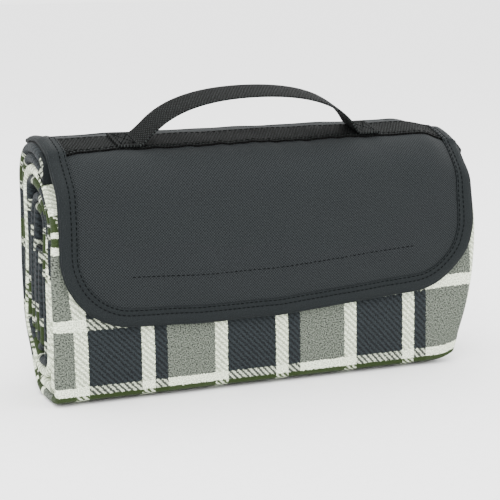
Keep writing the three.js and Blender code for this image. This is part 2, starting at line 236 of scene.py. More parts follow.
@dataclass
class Sheet:
    """A closed sheet of cloth or webbing, from the points of its two faces.

    Both faces are grids of the same shape, (rows, columns, 3). uv holds the cloth's own flat coordinates
    in metres, and face_slots the material of the upper face, the lower face and the edges.
    """

    upper: Array
    lower: Array
    uv: Array
    face_slots: tuple[int, int, int] = (0, 0, 0)

    def _quads(self) -> tuple[Array, Array]:
        """Joins the two faces into a closed sheet.

        Returns:
            Its quads and the material slot of each.
        """
        rows, columns = self.upper.shape[:2]
        grid = np.arange(rows * columns).reshape(rows, columns)
        under = grid + rows * columns
        corners = [grid[:-1, :-1], grid[:-1, 1:], grid[1:, 1:], grid[1:, :-1]]
        top = np.stack(corners, axis=-1).reshape(-1, 4)
        bottom = top[:, ::-1] + rows * columns
        rims = []
        for line, below in (
            (grid[0, ::-1], under[0, ::-1]),
            (grid[:, 0], under[:, 0]),
            (grid[-1, :], under[-1, :]),
            (grid[::-1, -1], under[::-1, -1]),
        ):
            rims.append(np.stack([line[:-1], line[1:], below[1:], below[:-1]], axis=-1))
        rim = np.concatenate(rims)
        slots = np.repeat(self.face_slots, [len(top), len(bottom), len(rim)])
        return np.concatenate([top, bottom, rim]), slots

    def build(self, name: str, sharp: float = 60.0) -> bpy.types.Object:
        """Makes the object.

        Args:
            name: the piece's name.
            sharp: edges that turn by more than this many degrees stay crisp.

        Returns:
            The new object, in place in the row frame.
        """
        points = np.concatenate([self.upper.reshape(-1, 3), self.lower.reshape(-1, 3)])
        faces, slots = self._quads()
        corner = points[faces]
        volume = np.einsum("ij,ij->i", corner[:, 0], np.cross(corner[:, 1], corner[:, 2])).sum()
        volume += np.einsum("ij,ij->i", corner[:, 0], np.cross(corner[:, 2], corner[:, 3])).sum()
        if volume < 0:
            faces = faces[:, ::-1]
        mesh = bpy.data.meshes.new(name)
        mesh.from_pydata(points.tolist(), [], faces.tolist())
        flat = np.concatenate([self.uv.reshape(-1, 2)] * 2)
        layer = mesh.uv_layers.new(name="cloth")
        layer.data.foreach_set("uv", flat[faces.reshape(-1)].astype(np.float32).ravel())
        mesh.polygons.foreach_set("material_index", slots.astype(np.int32))
        mesh.polygons.foreach_set("use_smooth", np.ones(len(faces), dtype=bool))
        mesh.update()
        piece = bpy.data.objects.new(name, mesh)
        bpy.context.scene.collection.objects.link(piece)
        mesh.set_sharp_from_angle(angle=math.radians(sharp))
        return piece


def copies_of(name: str, model: bpy.types.Mesh, places: Array) -> bpy.types.Object:
    """Joins many copies of one small mesh.

    Args:
        name: the piece's name.
        model: the mesh to repeat.
        places: a (copies, 3, 4) array: three axes and a place for each copy.

    Returns:
        One object that holds all the copies.
    """
    shape = np.array([vertex.co for vertex in model.vertices])
    faces = [list(polygon.vertices) for polygon in model.polygons]
    points = np.einsum("kij,nj->kni", places[:, :, :3], shape) + places[:, None, :, 3]
    count = len(shape)
    all_faces = [[index + copy * count for index in face] for copy in range(len(places)) for face in faces]
    mesh = bpy.data.meshes.new(name)
    mesh.from_pydata(points.reshape(-1, 3).tolist(), [], all_faces)
    mesh.polygons.foreach_set("use_smooth", np.ones(len(all_faces), dtype=bool))
    piece = bpy.data.objects.new(name, mesh)
    bpy.context.scene.collection.objects.link(piece)
    return piece


def stitch_model() -> bpy.types.Mesh:
    """Models one stitch of thread, with pinched ends.

    Returns:
        A mesh that is 1 long along X, and 1 wide and high.
    """
    bpy.ops.object.select_all(action="DESELECT")
    bpy.ops.mesh.primitive_uv_sphere_add(segments=8, ring_count=5, radius=0.5, rotation=(0, math.pi / 2, 0))
    bpy.ops.object.transform_apply(location=False, rotation=True, scale=True)
    ball = bpy.context.active_object
    bpy.ops.object.mode_set(mode="EDIT")
    bpy.ops.mesh.select_all(action="SELECT")
    bpy.ops.transform.resize(value=(1.0, 1.0, 0.8))
    bpy.ops.object.mode_set(mode="OBJECT")
    mesh = ball.data.copy()
    bpy.data.objects.remove(ball, do_unlink=True)
    return mesh


# ---- Finishes -----------------------------------------------------------------------------------------


def linear(colour: str) -> tuple[float, float, float, float]:
    """Turns an sRGB colour to linear.

    Args:
        colour: a hex value such as "#3a3e3d".

    Returns:
        The linear RGBA value.
    """
    values = [int(colour[i : i + 2], 16) / 255 for i in (1, 3, 5)]
    turned = [v / 12.92 if v <= 0.04045 else ((v + 0.055) / 1.055) ** 2.4 for v in values]
    return turned[0], turned[1], turned[2], 1.0


def add_node(
    tree: bpy.types.NodeTree, kind: str, links: dict | None = None, **settings: object
) -> bpy.types.Node:
    """Adds one shader node.

    Args:
        tree: the material's node tree.
        kind: the node's type without the "ShaderNode" in front.
        links: what goes into each input, by name or number: a node, a socket or a value.
        settings: the node's own properties.

    Returns:
        The new node.
    """
    new = tree.nodes.new("ShaderNode" + kind)
    for name, value in settings.items():
        setattr(new, name, value)
    for key, value in (links or {}).items():
        if isinstance(value, bpy.types.Node):
            value = value.outputs[0]
        if isinstance(value, bpy.types.NodeSocket):
            tree.links.new(value, new.inputs[key])
        else:
            new.inputs[key].default_value = value
    return new


def bands(
    tree: bpy.types.NodeTree, phase: bpy.types.Node, stops: Sequence[tuple[float, tuple]]
) -> bpy.types.Node:
    """Adds a colour ramp of flat bands.

    Args:
        tree: the material's node tree.
        phase: the place in one repeat, from 0 to 1.
        stops: where each band starts in the repeat, and its colour.

    Returns:
        The ramp.
    """
    ramp = add_node(tree, "ValToRGB", {0: phase})
    ramp.color_ramp.interpolation = "CONSTANT"
    elements = ramp.color_ramp.elements
    while len(elements) < len(stops):
        elements.new(1.0)
    for element, (start, colour) in zip(elements, stops):
        element.position = start
        element.color = colour
    return ramp


def new_material(name: str) -> tuple[bpy.types.Material, bpy.types.NodeTree, bpy.types.Node]:
    """Makes a material with nodes.

    Args:
        name: the material's name.

    Returns:
        The material, its tree and its Principled node.
    """
    material = bpy.data.materials.new(name)
    material.use_nodes = True
    tree = material.node_tree
    return material, tree, tree.nodes["Principled BSDF"]


@dataclass(frozen=True)
class PlaidFleece:
    """Brushed polar fleece, woven-look plaid print: a soft matt pile with a fine sheen at grazing angles.

    The warp stripes run along the roll and the weft stripes across it, with twill strokes where they cross.
    """

    navy: str = "#060809"
    navy_rubbed: str = "#2e3437"
    white: str = "#eaf2da"
    white_dark: str = "#949c86"
    white_between: str = "#59634e"
    grey: str = "#656b61"
    grey_dark: str = "#141614"
    olive: str = "#202c10"
    # widths in millimetres, from the left edge of the dark block, in the order they come along +X
    warp_navy: float = 37.3
    warp_white: float = 9.4
    warp_line: float = 9.4
    warp_grey: float = 35.0
    warp_white_after: float = 9.5
    # widths in millimetres, going up the front from the white line at its foot
    weft: tuple[tuple[float, str], ...] = (
        (5.8, "white"),
        (38.0, "plain"),
        (8.0, "white"),
        (45.0, "plain"),
        (5.0, "white"),
        (6.3, "olive"),
        (4.8, "white"),
        (14.0, "olive"),
        (5.8, "white"),
        (20.0, "plain"),
        (14.0, "olive"),
    )
    twill: float = 4.3  # millimetres between two strokes
    pile: float = 1.1  # millimetres across one tuft of pile
    fray: float = 2.6  # millimetres by which the tufts blur a stripe's edge

    def make(self) -> bpy.types.Material:
        """Makes the material, which reads the cloth in metres from its UV.

        Returns:
            The material.
        """
        material, tree, shader = new_material("brushed_plaid_fleece")
        uv = add_node(tree, "UVMap", uv_map="cloth")
        tufts = add_node(tree, "TexNoise", {"Vector": uv, "Scale": 1 / (self.pile * MM), "Detail": 3.0})
        fray = add_node(
            tree, "VectorMath", {0: tufts.outputs["Color"], 1: (0.5, 0.5, 0.5)}, operation="SUBTRACT"
        )
        reach = (self.fray * MM, self.fray * MM, 0)
        frayed = add_node(tree, "VectorMath", {0: fray, 1: reach, 2: uv}, operation="MULTIPLY_ADD")
        place = add_node(tree, "SeparateXYZ", {0: frayed})
        warp, weft = self._stripes(tree, place)
        stroke = self._twill(tree, place)
        colour = self._colour(tree, warp, weft, stroke, uv)
        tree.links.new(colour.outputs["Result"], shader.inputs["Base Color"])
        self._pile(tree, shader, uv, stroke)
        shader.inputs["Roughness"].default_value = 0.95
        shader.inputs["Specular IOR Level"].default_value = 0.15
        shader.inputs["Sheen Weight"].default_value = 0.04
        shader.inputs["Sheen Roughness"].default_value = 0.45
        return material

    def _stripes(
        self, tree: bpy.types.NodeTree, place: bpy.types.Node
    ) -> tuple[bpy.types.Node, bpy.types.Node]:
        """Marks the stripes.

        Args:
            tree: the material's node tree.
            place: the frayed place on the cloth, split into X and Y.

        Returns:
            The warp's and the weft's masks: red is navy or olive, green is white.
        """
        dark, pale, plain = (1, 0, 0, 1), (0, 1, 0, 1), (0, 0, 0, 1)
        widths = (self.warp_navy, self.warp_white, self.warp_line, self.warp_grey, self.warp_white_after)
        repeat = sum(widths)
        starts = [sum(widths[:i]) / repeat for i in range(len(widths))]
        across = add_node(tree, "Math", {0: place.outputs["X"], 1: repeat * MM}, operation="DIVIDE")
        across = add_node(tree, "Math", {0: across}, operation="FRACT")
        warp = bands(tree, across, list(zip(starts, (dark, pale, dark, plain, pale))))
        colours = {"olive": dark, "white": pale, "plain": plain}
        repeat = sum(width for width, _ in self.weft)
        starts = [sum(width for width, _ in self.weft[:i]) / repeat for i in range(len(self.weft))]
        up = add_node(tree, "Math", {0: place.outputs["Y"], 1: repeat * MM}, operation="DIVIDE")
        up = add_node(tree, "Math", {0: up}, operation="FRACT")
        weft = bands(tree, up, [(start, colours[name]) for start, (_, name) in zip(starts, self.weft)])
        return add_node(tree, "SeparateColor", {0: warp}), add_node(tree, "SeparateColor", {0: weft})

    def _twill(self, tree: bpy.types.NodeTree, place: bpy.types.Node) -> bpy.types.Node:
        """Marks the slanting strokes.

        Args:
            tree: the material's node tree.
            place: the frayed place on the cloth, split into X and Y.

        Returns:
            A value from 0 between the strokes to 1 on them.
        """
        slant = add_node(tree, "Math", {0: place.outputs["X"], 1: place.outputs["Y"]}, operation="ADD")
        slant = add_node(tree, "Math", {0: slant, 1: self.twill * MM}, operation="DIVIDE")
        wave = add_node(tree, "Math", {0: slant, 1: 0.5}, operation="PINGPONG")
        return add_node(tree, "MapRange", {0: wave, 1: 0.17, 2: 0.33}, interpolation_type="SMOOTHSTEP")

    def _colour(
        self,
        tree: bpy.types.NodeTree,
        warp: bpy.types.Node,
        weft: bpy.types.Node,
        stroke: bpy.types.Node,
        uv: bpy.types.Node,
    ) -> bpy.types.Node:
        """Lays the plaid: grey ground, warp stripes, then the weft rows, which sink between the strokes.

        Args:
            tree: the material's node tree.
            warp: the warp's masks.
            weft: the weft's masks.
            stroke: the twill strokes.
            uv: the place on the cloth.

        Returns:
            The node that ends the colour.
        """
        speckle = add_node(tree, "TexNoise", {"Vector": uv, "Scale": 1 / (0.9 * MM), "Detail": 2.0})
        salt = add_node(tree, "MapRange", {0: speckle, 1: 0.36, 2: 0.6})
        grey = add_node(
            tree, "Mix", {0: salt, 6: linear(self.grey_dark), 7: linear(self.grey)}, data_type="RGBA"
        )
        rubbed = add_node(tree, "Math", {0: stroke, 1: 0.3}, operation="MULTIPLY")
        rubbed = add_node(tree, "Math", {0: salt, 1: 0.3, 2: rubbed}, operation="MULTIPLY_ADD")
        navy = add_node(
            tree, "Mix", {0: rubbed, 6: linear(self.navy), 7: linear(self.navy_rubbed)}, data_type="RGBA"
        )
        tuft = add_node(
            tree, "Mix", {0: salt, 6: linear(self.white_dark), 7: linear(self.white)}, data_type="RGBA"
        )
        between = add_node(tree, "Math", {0: stroke, 1: 0.62}, operation="MULTIPLY")
        white = add_node(
            tree,
            "Mix",
            {0: between, 6: tuft.outputs["Result"], 7: linear(self.white_between)},
            data_type="RGBA",
        )
        base = add_node(
            tree,
            "Mix",
            {0: warp.outputs["Red"], 6: grey.outputs["Result"], 7: navy.outputs["Result"]},
            data_type="RGBA",
        )
        base = add_node(
            tree,
            "Mix",
            {0: warp.outputs["Green"], 6: base.outputs["Result"], 7: white.outputs["Result"]},
            data_type="RGBA",
        )
        gap = add_node(tree, "Math", {0: 1.0, 1: stroke}, operation="SUBTRACT")
        hidden = add_node(tree, "Math", {0: warp.outputs["Red"], 1: gap}, operation="MULTIPLY")
        hidden = add_node(tree, "Math", {0: hidden, 1: 0.92}, operation="MULTIPLY")
        shows = add_node(tree, "Math", {0: 1.0, 1: hidden}, operation="SUBTRACT")
        sunk = add_node(tree, "Math", {0: warp.outputs["Red"], 1: -0.42, 2: 1.0}, operation="MULTIPLY_ADD")
        shows = add_node(tree, "Math", {0: shows, 1: sunk}, operation="MULTIPLY")
        laid = add_node(tree, "Math", {0: weft.outputs["Green"], 1: shows}, operation="MULTIPLY")
        crossed = add_node(
            tree, "Mix", {0: laid, 6: base.outputs["Result"], 7: tuft.outputs["Result"]}, data_type="RGBA"
        )
        open_white = add_node(tree, "Math", {0: warp.outputs["Green"], 1: gap}, operation="MULTIPLY")
        open_white = add_node(tree, "Math", {0: open_white, 1: 0.6}, operation="MULTIPLY")
        cover = add_node(tree, "Math", {0: 0.94, 1: open_white}, operation="SUBTRACT")
        cover = add_node(tree, "Math", {0: cover, 1: weft.outputs["Red"]}, operation="MULTIPLY")
        return add_node(
            tree, "Mix", {0: cover, 6: crossed.outputs["Result"], 7: linear(self.olive)}, data_type="RGBA"
        )

    def _pile(
        self, tree: bpy.types.NodeTree, shader: bpy.types.Node, uv: bpy.types.Node, stroke: bpy.types.Node
    ) -> None:
        """Raises the pile: soft tufts with a finer nap on them.

        Args:
            tree: the material's node tree.
            shader: its Principled node.
            uv: the place on the cloth.
            stroke: the twill strokes.
        """
        scale = 1 / (1.9 * MM)
        tuft = add_node(tree, "TexNoise", {"Vector": uv, "Scale": scale, "Detail": 4.0, "Roughness": 0.65})
        nap = add_node(tree, "TexNoise", {"Vector": uv, "Scale": 1 / (0.6 * MM), "Detail": 2.0})
        height = add_node(tree, "Math", {0: nap, 1: 0.5, 2: tuft}, operation="MULTIPLY_ADD")
        height = add_node(tree, "Math", {0: stroke, 1: 0.15, 2: height}, operation="MULTIPLY_ADD")
        bump = add_node(tree, "Bump", {"Strength": 0.7, "Distance": 0.9 * MM, "Height": height})
        tree.links.new(bump.outputs[0], shader.inputs["Normal"])


@dataclass(frozen=True)
class WovenCloth:
    """Plain-woven polyester: a fine grid of over and under threads with a dull coated sheen, and a painted
    highlight on the raised threads.
    """

    name: str
    colour: str
    # the lighter colour, painted on the raised threads as highlight
    highlight: str
    thread: float  # millimetres from one thread to the next, drawn coarse enough to show
    roughness: float = 0.72
    relief: float = 0.35  # bump strength
    height: float = 0.18  # millimetres
    sheen: float = 0.02

    def make(self) -> bpy.types.Material:
        """Makes the material, which reads the cloth in metres from its UV.

        Returns:
            The material.
        """
        material, tree, shader = new_material(self.name)
        uv = add_node(tree, "UVMap", uv_map="cloth")
        place = add_node(tree, "SeparateXYZ", {0: uv})
        turns = math.pi / (self.thread * MM)
        along = add_node(tree, "Math", {0: place.outputs["X"], 1: turns}, operation="MULTIPLY")
        along = add_node(tree, "Math", {0: along}, operation="SINE")
        across = add_node(tree, "Math", {0: place.outputs["Y"], 1: turns}, operation="MULTIPLY")
        across = add_node(tree, "Math", {0: across}, operation="SINE")
        weave = add_node(tree, "Math", {0: along, 1: across}, operation="MULTIPLY")
        raised = add_node(tree, "MapRange", {0: weave, 1: -0.8, 2: 0.8})
        cloud = add_node(tree, "TexNoise", {"Vector": uv, "Scale": 1 / (14 * MM), "Detail": 3.0})
        fleck = add_node(tree, "TexNoise", {"Vector": uv, "Scale": 1 / (self.thread * MM), "Detail": 1.0})
        tone = add_node(tree, "MapRange", {0: fleck, 1: 0.3, 2: 0.7, 3: 0.0, 4: 0.35})
        # painted highlight on the raised threads of the grid, with random tone from the flecks
        mask = add_node(tree, "Math", {0: raised, 1: 0.65, 2: tone}, operation="MULTIPLY_ADD")
        colour = add_node(
            tree, "Mix", {0: mask, 6: linear(self.colour), 7: linear(self.highlight)}, data_type="RGBA"
        )
        tree.links.new(colour.outputs["Result"], shader.inputs["Base Color"])
        lift = add_node(tree, "Math", {0: fleck, 1: 0.5, 2: raised}, operation="MULTIPLY_ADD")
        bump = add_node(tree, "Bump", {"Strength": self.relief, "Distance": self.height * MM, "Height": lift})
        tree.links.new(bump.outputs[0], shader.inputs["Normal"])
        rough = add_node(tree, "MapRange", {0: cloud, 3: self.roughness - 0.04, 4: self.roughness + 0.06})
        tree.links.new(rough.outputs[0], shader.inputs["Roughness"])
        shader.inputs["Specular IOR Level"].default_value = 0.07
        shader.inputs["Sheen Weight"].default_value = self.sheen
        shader.inputs["Sheen Roughness"].default_value = 0.5
        return material


@dataclass(frozen=True)
class RibbedTape:
    """Narrow woven tape or webbing: cross picks packed over lengthwise ribs, matt, with a painted highlight on
    the yarn tops.
    """

    name: str
    colour: str
    # the lighter colour, painted on the yarn tops as highlight
    highlight: str
    rib: float  # millimetres between ribs, which run along the tape
    pick: float  # millimetres between the picks that cross it
    offset: float = 0.5  # share of a pick by which each rib is shifted against the last
    height: float = 0.35  # millimetres
    roughness: float = 0.6

    def make(self) -> bpy.types.Material:
        """Makes the material, whose UV runs along the tape in X and across it in Y, in metres.

        Returns:
            The material.
        """
        material, tree, shader = new_material(self.name)
        uv = add_node(tree, "UVMap", uv_map="cloth")
        place = add_node(tree, "SeparateXYZ", {0: uv})
        row = add_node(tree, "Math", {0: place.outputs["Y"], 1: self.rib * MM}, operation="DIVIDE")
        number = add_node(tree, "Math", {0: row}, operation="FLOOR")
        shift = add_node(tree, "Math", {0: number, 1: self.offset}, operation="MULTIPLY")
        step = add_node(tree, "Math", {0: place.outputs["X"], 1: self.pick * MM}, operation="DIVIDE")
        step = add_node(tree, "Math", {0: step, 1: shift}, operation="ADD")
        across = add_node(tree, "Math", {0: row}, operation="FRACT")
        across = add_node(tree, "Math", {0: across, 1: math.pi}, operation="MULTIPLY")
        across = add_node(tree, "Math", {0: across}, operation="SINE")
        along = add_node(tree, "Math", {0: step}, operation="FRACT")
        along = add_node(tree, "Math", {0: along, 1: math.pi}, operation="MULTIPLY")
        along = add_node(tree, "Math", {0: along}, operation="SINE")
        yarn = add_node(tree, "Math", {0: across, 1: along}, operation="MULTIPLY")
        yarn = add_node(tree, "Math", {0: yarn, 1: 0.6}, operation="POWER")
        fleck = add_node(tree, "TexNoise", {"Vector": uv, "Scale": 1 / (0.7 * MM), "Detail": 2.0})
        # painted highlight: the highlight colour lies on the yarn tops, broken up by the fleck noise
        mask = add_node(tree, "Math", {0: yarn, 1: fleck}, operation="MULTIPLY")
        mask = add_node(tree, "MapRange", {0: mask, 1: 0.3, 2: 0.72})
        colour = add_node(
            tree, "Mix", {0: mask, 6: linear(self.colour), 7: linear(self.highlight)}, data_type="RGBA"
        )
        tree.links.new(colour.outputs["Result"], shader.inputs["Base Color"])
        lift = add_node(tree, "Math", {0: fleck, 1: 0.3, 2: yarn}, operation="MULTIPLY_ADD")
        bump = add_node(tree, "Bump", {"Strength": 0.6, "Distance": self.height * MM, "Height": lift})
        tree.links.new(bump.outputs[0], shader.inputs["Normal"])
        shader.inputs["Roughness"].default_value = self.roughness
        shader.inputs["Specular IOR Level"].default_value = 0.06
        return material


@dataclass(frozen=True)
class Plain:
    """A small part's finish with a fine grain: coated backing, thread, hooks or loops, or the studio floor."""

    name: str
    colour: str
    # the lighter colour, painted where the grain stands highest as highlight
    highlight: str
    grain: float  # millimetres
    roughness: float
    height: float = 0.1  # millimetres
    clumps: float = 0.0  # 1 for round tufts or hooks, 0 for even grain
    specular: float = 0.25

    def make(self) -> bpy.types.Material:
        """Makes the material.

        Returns:
            The material.
        """
        material, tree, shader = new_material(self.name)
        place = add_node(tree, "TexCoord")
        scale = 1 / (self.grain * MM)
        noise = add_node(tree, "TexNoise", {"Vector": place.outputs["Object"], "Scale": scale, "Detail": 3.0})
        cells = add_node(tree, "TexVoronoi", {"Vector": place.outputs["Object"], "Scale": scale})
        knob = add_node(tree, "MapRange", {0: cells, 1: 0.1, 2: 0.6, 3: 1.0, 4: 0.0})
        height = add_node(tree, "Mix", {0: self.clumps, 2: noise, 3: knob}, data_type="FLOAT")
        # painted highlight: the colour turns towards the highlight where the grain, the hooks and the tufts
        # stand highest
        colour = add_node(
            tree,
            "Mix",
            {0: height.outputs["Result"], 6: linear(self.colour), 7: linear(self.highlight)},
            data_type="RGBA",
        )
        tree.links.new(colour.outputs["Result"], shader.inputs["Base Color"])
        bump = add_node(
            tree, "Bump", {"Strength": 0.5, "Distance": self.height * MM, "Height": height.outputs["Result"]}
        )
        tree.links.new(bump.outputs[0], shader.inputs["Normal"])
        shader.inputs["Roughness"].default_value = self.roughness
        shader.inputs["Specular IOR Level"].default_value = self.specular
        return material


class Finishes:
    """Every material of the blanket, made once."""

    def __init__(self) -> None:
        """Makes the materials."""
        self.fleece = PlaidFleece().make()
        self.backing = Plain("coated_backing", "#121415", "#1d2022", 1.2, 0.5, 0.05).make()
        self.shell = WovenCloth("woven_polyester_600d", "#07090a", "#282b2c", 1.0, 0.85, 0.9).make()
        self.lining = WovenCloth("polyester_lining", "#0a0b0c", "#1b1e1f", 0.6, 0.7, 0.25, 0.08).make()
        self.binding = RibbedTape("folded_edge_binding", "#121516", "#2f3334", 0.75, 0.6, 0.5, 0.16).make()
        self.webbing = RibbedTape("polyester_webbing", "#010101", "#353938", 1.9, 2.3, 0.5, 0.8, 0.8).make()
        self.thread = Plain("sewing_thread", "#040505", "#0d0f0f", 0.4, 0.95, 0.05, specular=0.0).make()
        self.hooks = Plain("hook_tape_nylon", "#060707", "#1c1f20", 1.5, 0.5, 0.5, 1.0).make()
        self.loops = Plain("loop_tape_nylon", "#090a0b", "#1f2223", 0.7, 0.95, 0.4, 0.4, 0.05).make()


def dress(piece: bpy.types.Object, slot: str, *materials: bpy.types.Material) -> None:
    """Gives a piece its materials.

    Args:
        piece: the piece.
        slot: the record's slot; not used.
        materials: one for each of the mesh's slots.
    """
    for material in materials:
        piece.data.materials.append(material)


# ---- The bundle's soft shape --------------------------------------------------------------------------


@dataclass(frozen=True)
class Settling:
    """How the soft bundle gives: both ends droop at the shoulder, and the right end rounds under."""

    end: float = 160 * MM
    reach: float = 40 * MM  # from each end, how far the ends give
    droop: float = 8 * MM  # of the top, at the right end
    chamfer_left: float = 9.5 * MM
    chamfer_right: float = 7.5 * MM
    shoulder: tuple[float, float] = (-33 * MM, 154 * MM)  # y and z of the place that gives most
    under: float = 18 * MM
    under_height: float = 75 * MM
    crest: float = 1.6 * MM
    crease: float = 3.2 * MM  # how far the front of the base is pressed out towards a crisp corner

    def __call__(self, points: Array) -> Array:
        """Settles points of the neat roll.

        Args:
            points: places in the row frame, in metres.

        Returns:
            Where the soft bundle has them.
        """
        x, y, z = points[..., 0], points[..., 1], points[..., 2]
        left = ease((-x - self.end + self.reach) / self.reach)
        right = ease((x - self.end + self.reach) / self.reach)
        below = np.where(z < self.shoulder[1], 30 * MM, 17 * MM)
        near = np.exp(-(((y - self.shoulder[0]) / (17 * MM)) ** 2) - ((z - self.shoulder[1]) / below) ** 2)
        chamfer = near * (left * self.chamfer_left + right * self.chamfer_right)
        drop = right * self.droop * ease((z - 115 * MM) / (55 * MM))
        forward = ease((22 * MM - y) / (52 * MM))
        belly = forward * 1.4 * MM * np.exp(-(((z - 78 * MM) / (42 * MM)) ** 2)) * (1 - left)
        low = np.clip(1 - z / self.under_height, 0, 1)
        inward = right**2 * low**2.3 * self.under * ease((30 * MM - y) / (50 * MM))
        inward = inward - right * 1.6 * MM * np.exp(-(((z - 105 * MM) / (30 * MM)) ** 2))
        lift = right**2 * low**2 * 5 * MM
        lift = lift + self.crest * ease((z - 60 * MM) / (110 * MM))
        crease = np.exp(-(((y + 38 * MM) / (8.5 * MM)) ** 2) - ((z - 5 * MM) / (8.5 * MM)) ** 2)
        waves = 0.45 * MM * ripple(x, z, 70 * MM, 3) * ease(z / (30 * MM))
        y = y + 0.6 * chamfer - belly + waves - self.crease * crease
        z = z * (1 - 0.62 * crease) - 0.8 * chamfer - drop + lift
        return np.stack([x - inward, y, z], axis=-1)


SETTLE = Settling()


@dataclass
class Blanket:
    """The fleece: four plies across, rolled into six legs, with tape over its two cut ends."""

    leg: float = 14.0 * MM  # four plies
    pitch: float = 14.4 * MM  # from one leg to the next inwards
    ply: float = 3.2 * MM
    ply_pitch: float = 3.45 * MM
    fill: float = 3.7 * MM  # how far the roll's front fills the room behind the flap
    slope: float = 13.5  # degrees that the top falls to the front
    kink: float = 6 * MM  # y where it starts to fall
    sewn_y: float = -21 * MM  # y of the outer end, sewn under the flap
    tightest: float = 7.5 * MM
    turns: int = 3
    step: float = 4 * MM
    tape: float = 0.45 * MM
    tape_reach: float = 12 * MM
    fold_take: float = 0.943  # brings the stripes at the second fold back in step with the first
    stripe_from: float = 136.8 * MM  # where x = 0 falls in the stripes
    skew_front: float = 16 * MM  # how far the stripes wander sideways up the front
    skew_inside: float = 14 * MM  # and in the legs further in
    skew_back: float = 30 * MM  # and round the foot of the back
    gather: float = 0.058  # how much closer the stripes crowd on the right half
    row_rise: float = 0.13  # how much higher the rows run towards the right
    row_foot: float = 6.6 * MM  # height of the lowest white row's lower edge, on the front
    outline: Outline = field(init=False)

    def __post_init__(self) -> None:
        """Draws the roll's middle line inside the CAD's box."""
        low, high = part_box("fleece_blanket")
        self.half = high[0]
        half_leg = self.leg / 2
        front = low[1] - self.fill + half_leg
        back = high[1] - half_leg
        top = high[2] - half_leg
        self.front = front
        self.slope_edge = Edge(self.kink, top, self.slope)
        self.outline = Outline(self._corners(front, back, top, half_leg))

    def _corners(
        self, front: float, back: float, top: float, bottom: float
    ) -> list[tuple[float, float, float]]:
        """Draws the spiral, from the outer end to the inner one.

        Args:
            front: y of the front run's middle line.
            back: y of the back run's.
            top: z of the top run's.
            bottom: z of the bottom run's.

        Returns:
            The y, z and radius of each corner.
        """
        slope = self.slope_edge
        level = Edge(self.kink, top, 0)
        down = Edge(back, top, -90)
        heel = Edge(back, 42 * MM, -135)
        under = Edge(0, bottom, -180)
        up = Edge(front, 0, 90)
        start = slope.meets(Edge(self.sewn_y, 0, 90))
        corners = [(*start, 0.0)]
        for turn in range(self.turns):
            depth = turn * self.pitch

            def tight(radius: float, depth: float = depth) -> float:
                """Returns a corner's radius this far in."""
                return max(self.tightest, radius - depth)

            inner = [edge.inset(depth) for edge in (slope, level, down, heel, under, up)]
            slope_k, level_k, down_k, heel_k, under_k, up_k = inner
            if turn + 1 < self.turns:
                corners.append((*slope_k.meets(level_k), 14 * MM))
                corners.append((*level_k.meets(down_k), tight(24 * MM)))
                corners.append((*down_k.meets(heel_k), tight(30 * MM)))
                corners.append((*heel_k.meets(under_k), tight(24 * MM)))
            else:
                corners.append((*slope_k.meets(down_k), 7.5 * MM))
                corners.append((*down_k.meets(under_k), 8.5 * MM))
            corners.append((*under_k.meets(up_k), tight(8.4 * MM)))
            next_slope = slope.inset(depth + self.pitch)
            if turn + 1 < self.turns:
                corners.append((*up_k.meets(next_slope), tight(30 * MM)))
            else:
                end = up_k.meets(next_slope)
                corners.append((end[0], end[1] - self.leg, 0.0))
        return corners

    def place(self, along: Array, x: Array, out: Array) -> Array:
        """Finds points of the settled roll.

        Args:
            along: distance along the middle line.
            x: place across.
            out: distance out from the middle line.

        Returns:
            The points, in the row frame.
        """
        middle = self.outline.point(along)
        normal = self.outline.normal(along)
        y = middle[..., 0] + out * normal[..., 0]
        z = middle[..., 1] + out * normal[..., 1]
        return SETTLE(np.stack(np.broadcast_arrays(x, y, z), -1))

    def _fold_line(self) -> tuple[Array, Array, Array]:
        """Draws the four plies' middle line across the leg.

        Returns:
            Its x, its height in the leg, and the cloth's own distance.
        """
        near, far = self.ply_pitch / 2, 1.5 * self.ply_pitch
        left = -self.half + self.ply_pitch
        right = self.half - far - self.ply / 2
        raw = right - 8 * MM
        inner = np.linspace(raw, left, 18)
        outer = np.linspace(left, right, 42)
        lip = np.linspace(0, math.pi, 10)[1:-1]
        bend = np.linspace(0, math.pi, 12)[1:-1]
        x = [inner, left - near * np.sin(lip), outer, right + far * np.sin(bend)]
        h = [0 * inner - near, -2 * near + near * np.cos(lip), 0 * outer - far, -far * np.cos(bend)]
        x += [outer[::-1], left - near * np.sin(lip), inner[::-1]]
        h += [0 * outer + far, 2 * near + near * np.cos(lip), 0 * inner + near]
        x, h = np.concatenate(x), np.concatenate(h)
        cloth = np.concatenate([[0.0], np.cumsum(np.hypot(np.diff(x), np.diff(h)))])
        return x, h, cloth

    def build(self, finishes: Finishes) -> None:
        """Builds and dresses the fleece and the tape over its ends.

        Args:
            finishes: the materials.
        """
        x, h, cloth = self._fold_line()
        tangent = unit(np.stack([np.gradient(x), np.gradient(h)], -1))
        right_x, right_h = tangent[:, 1], -tangent[:, 0]
        rows = np.linspace(0, self.outline.length, int(self.outline.length / self.step))[:, None]
        outer_ply = np.argmin(np.abs(x) + 1e3 * (h < self.ply_pitch))
        beyond = cloth[outer_ply] - cloth
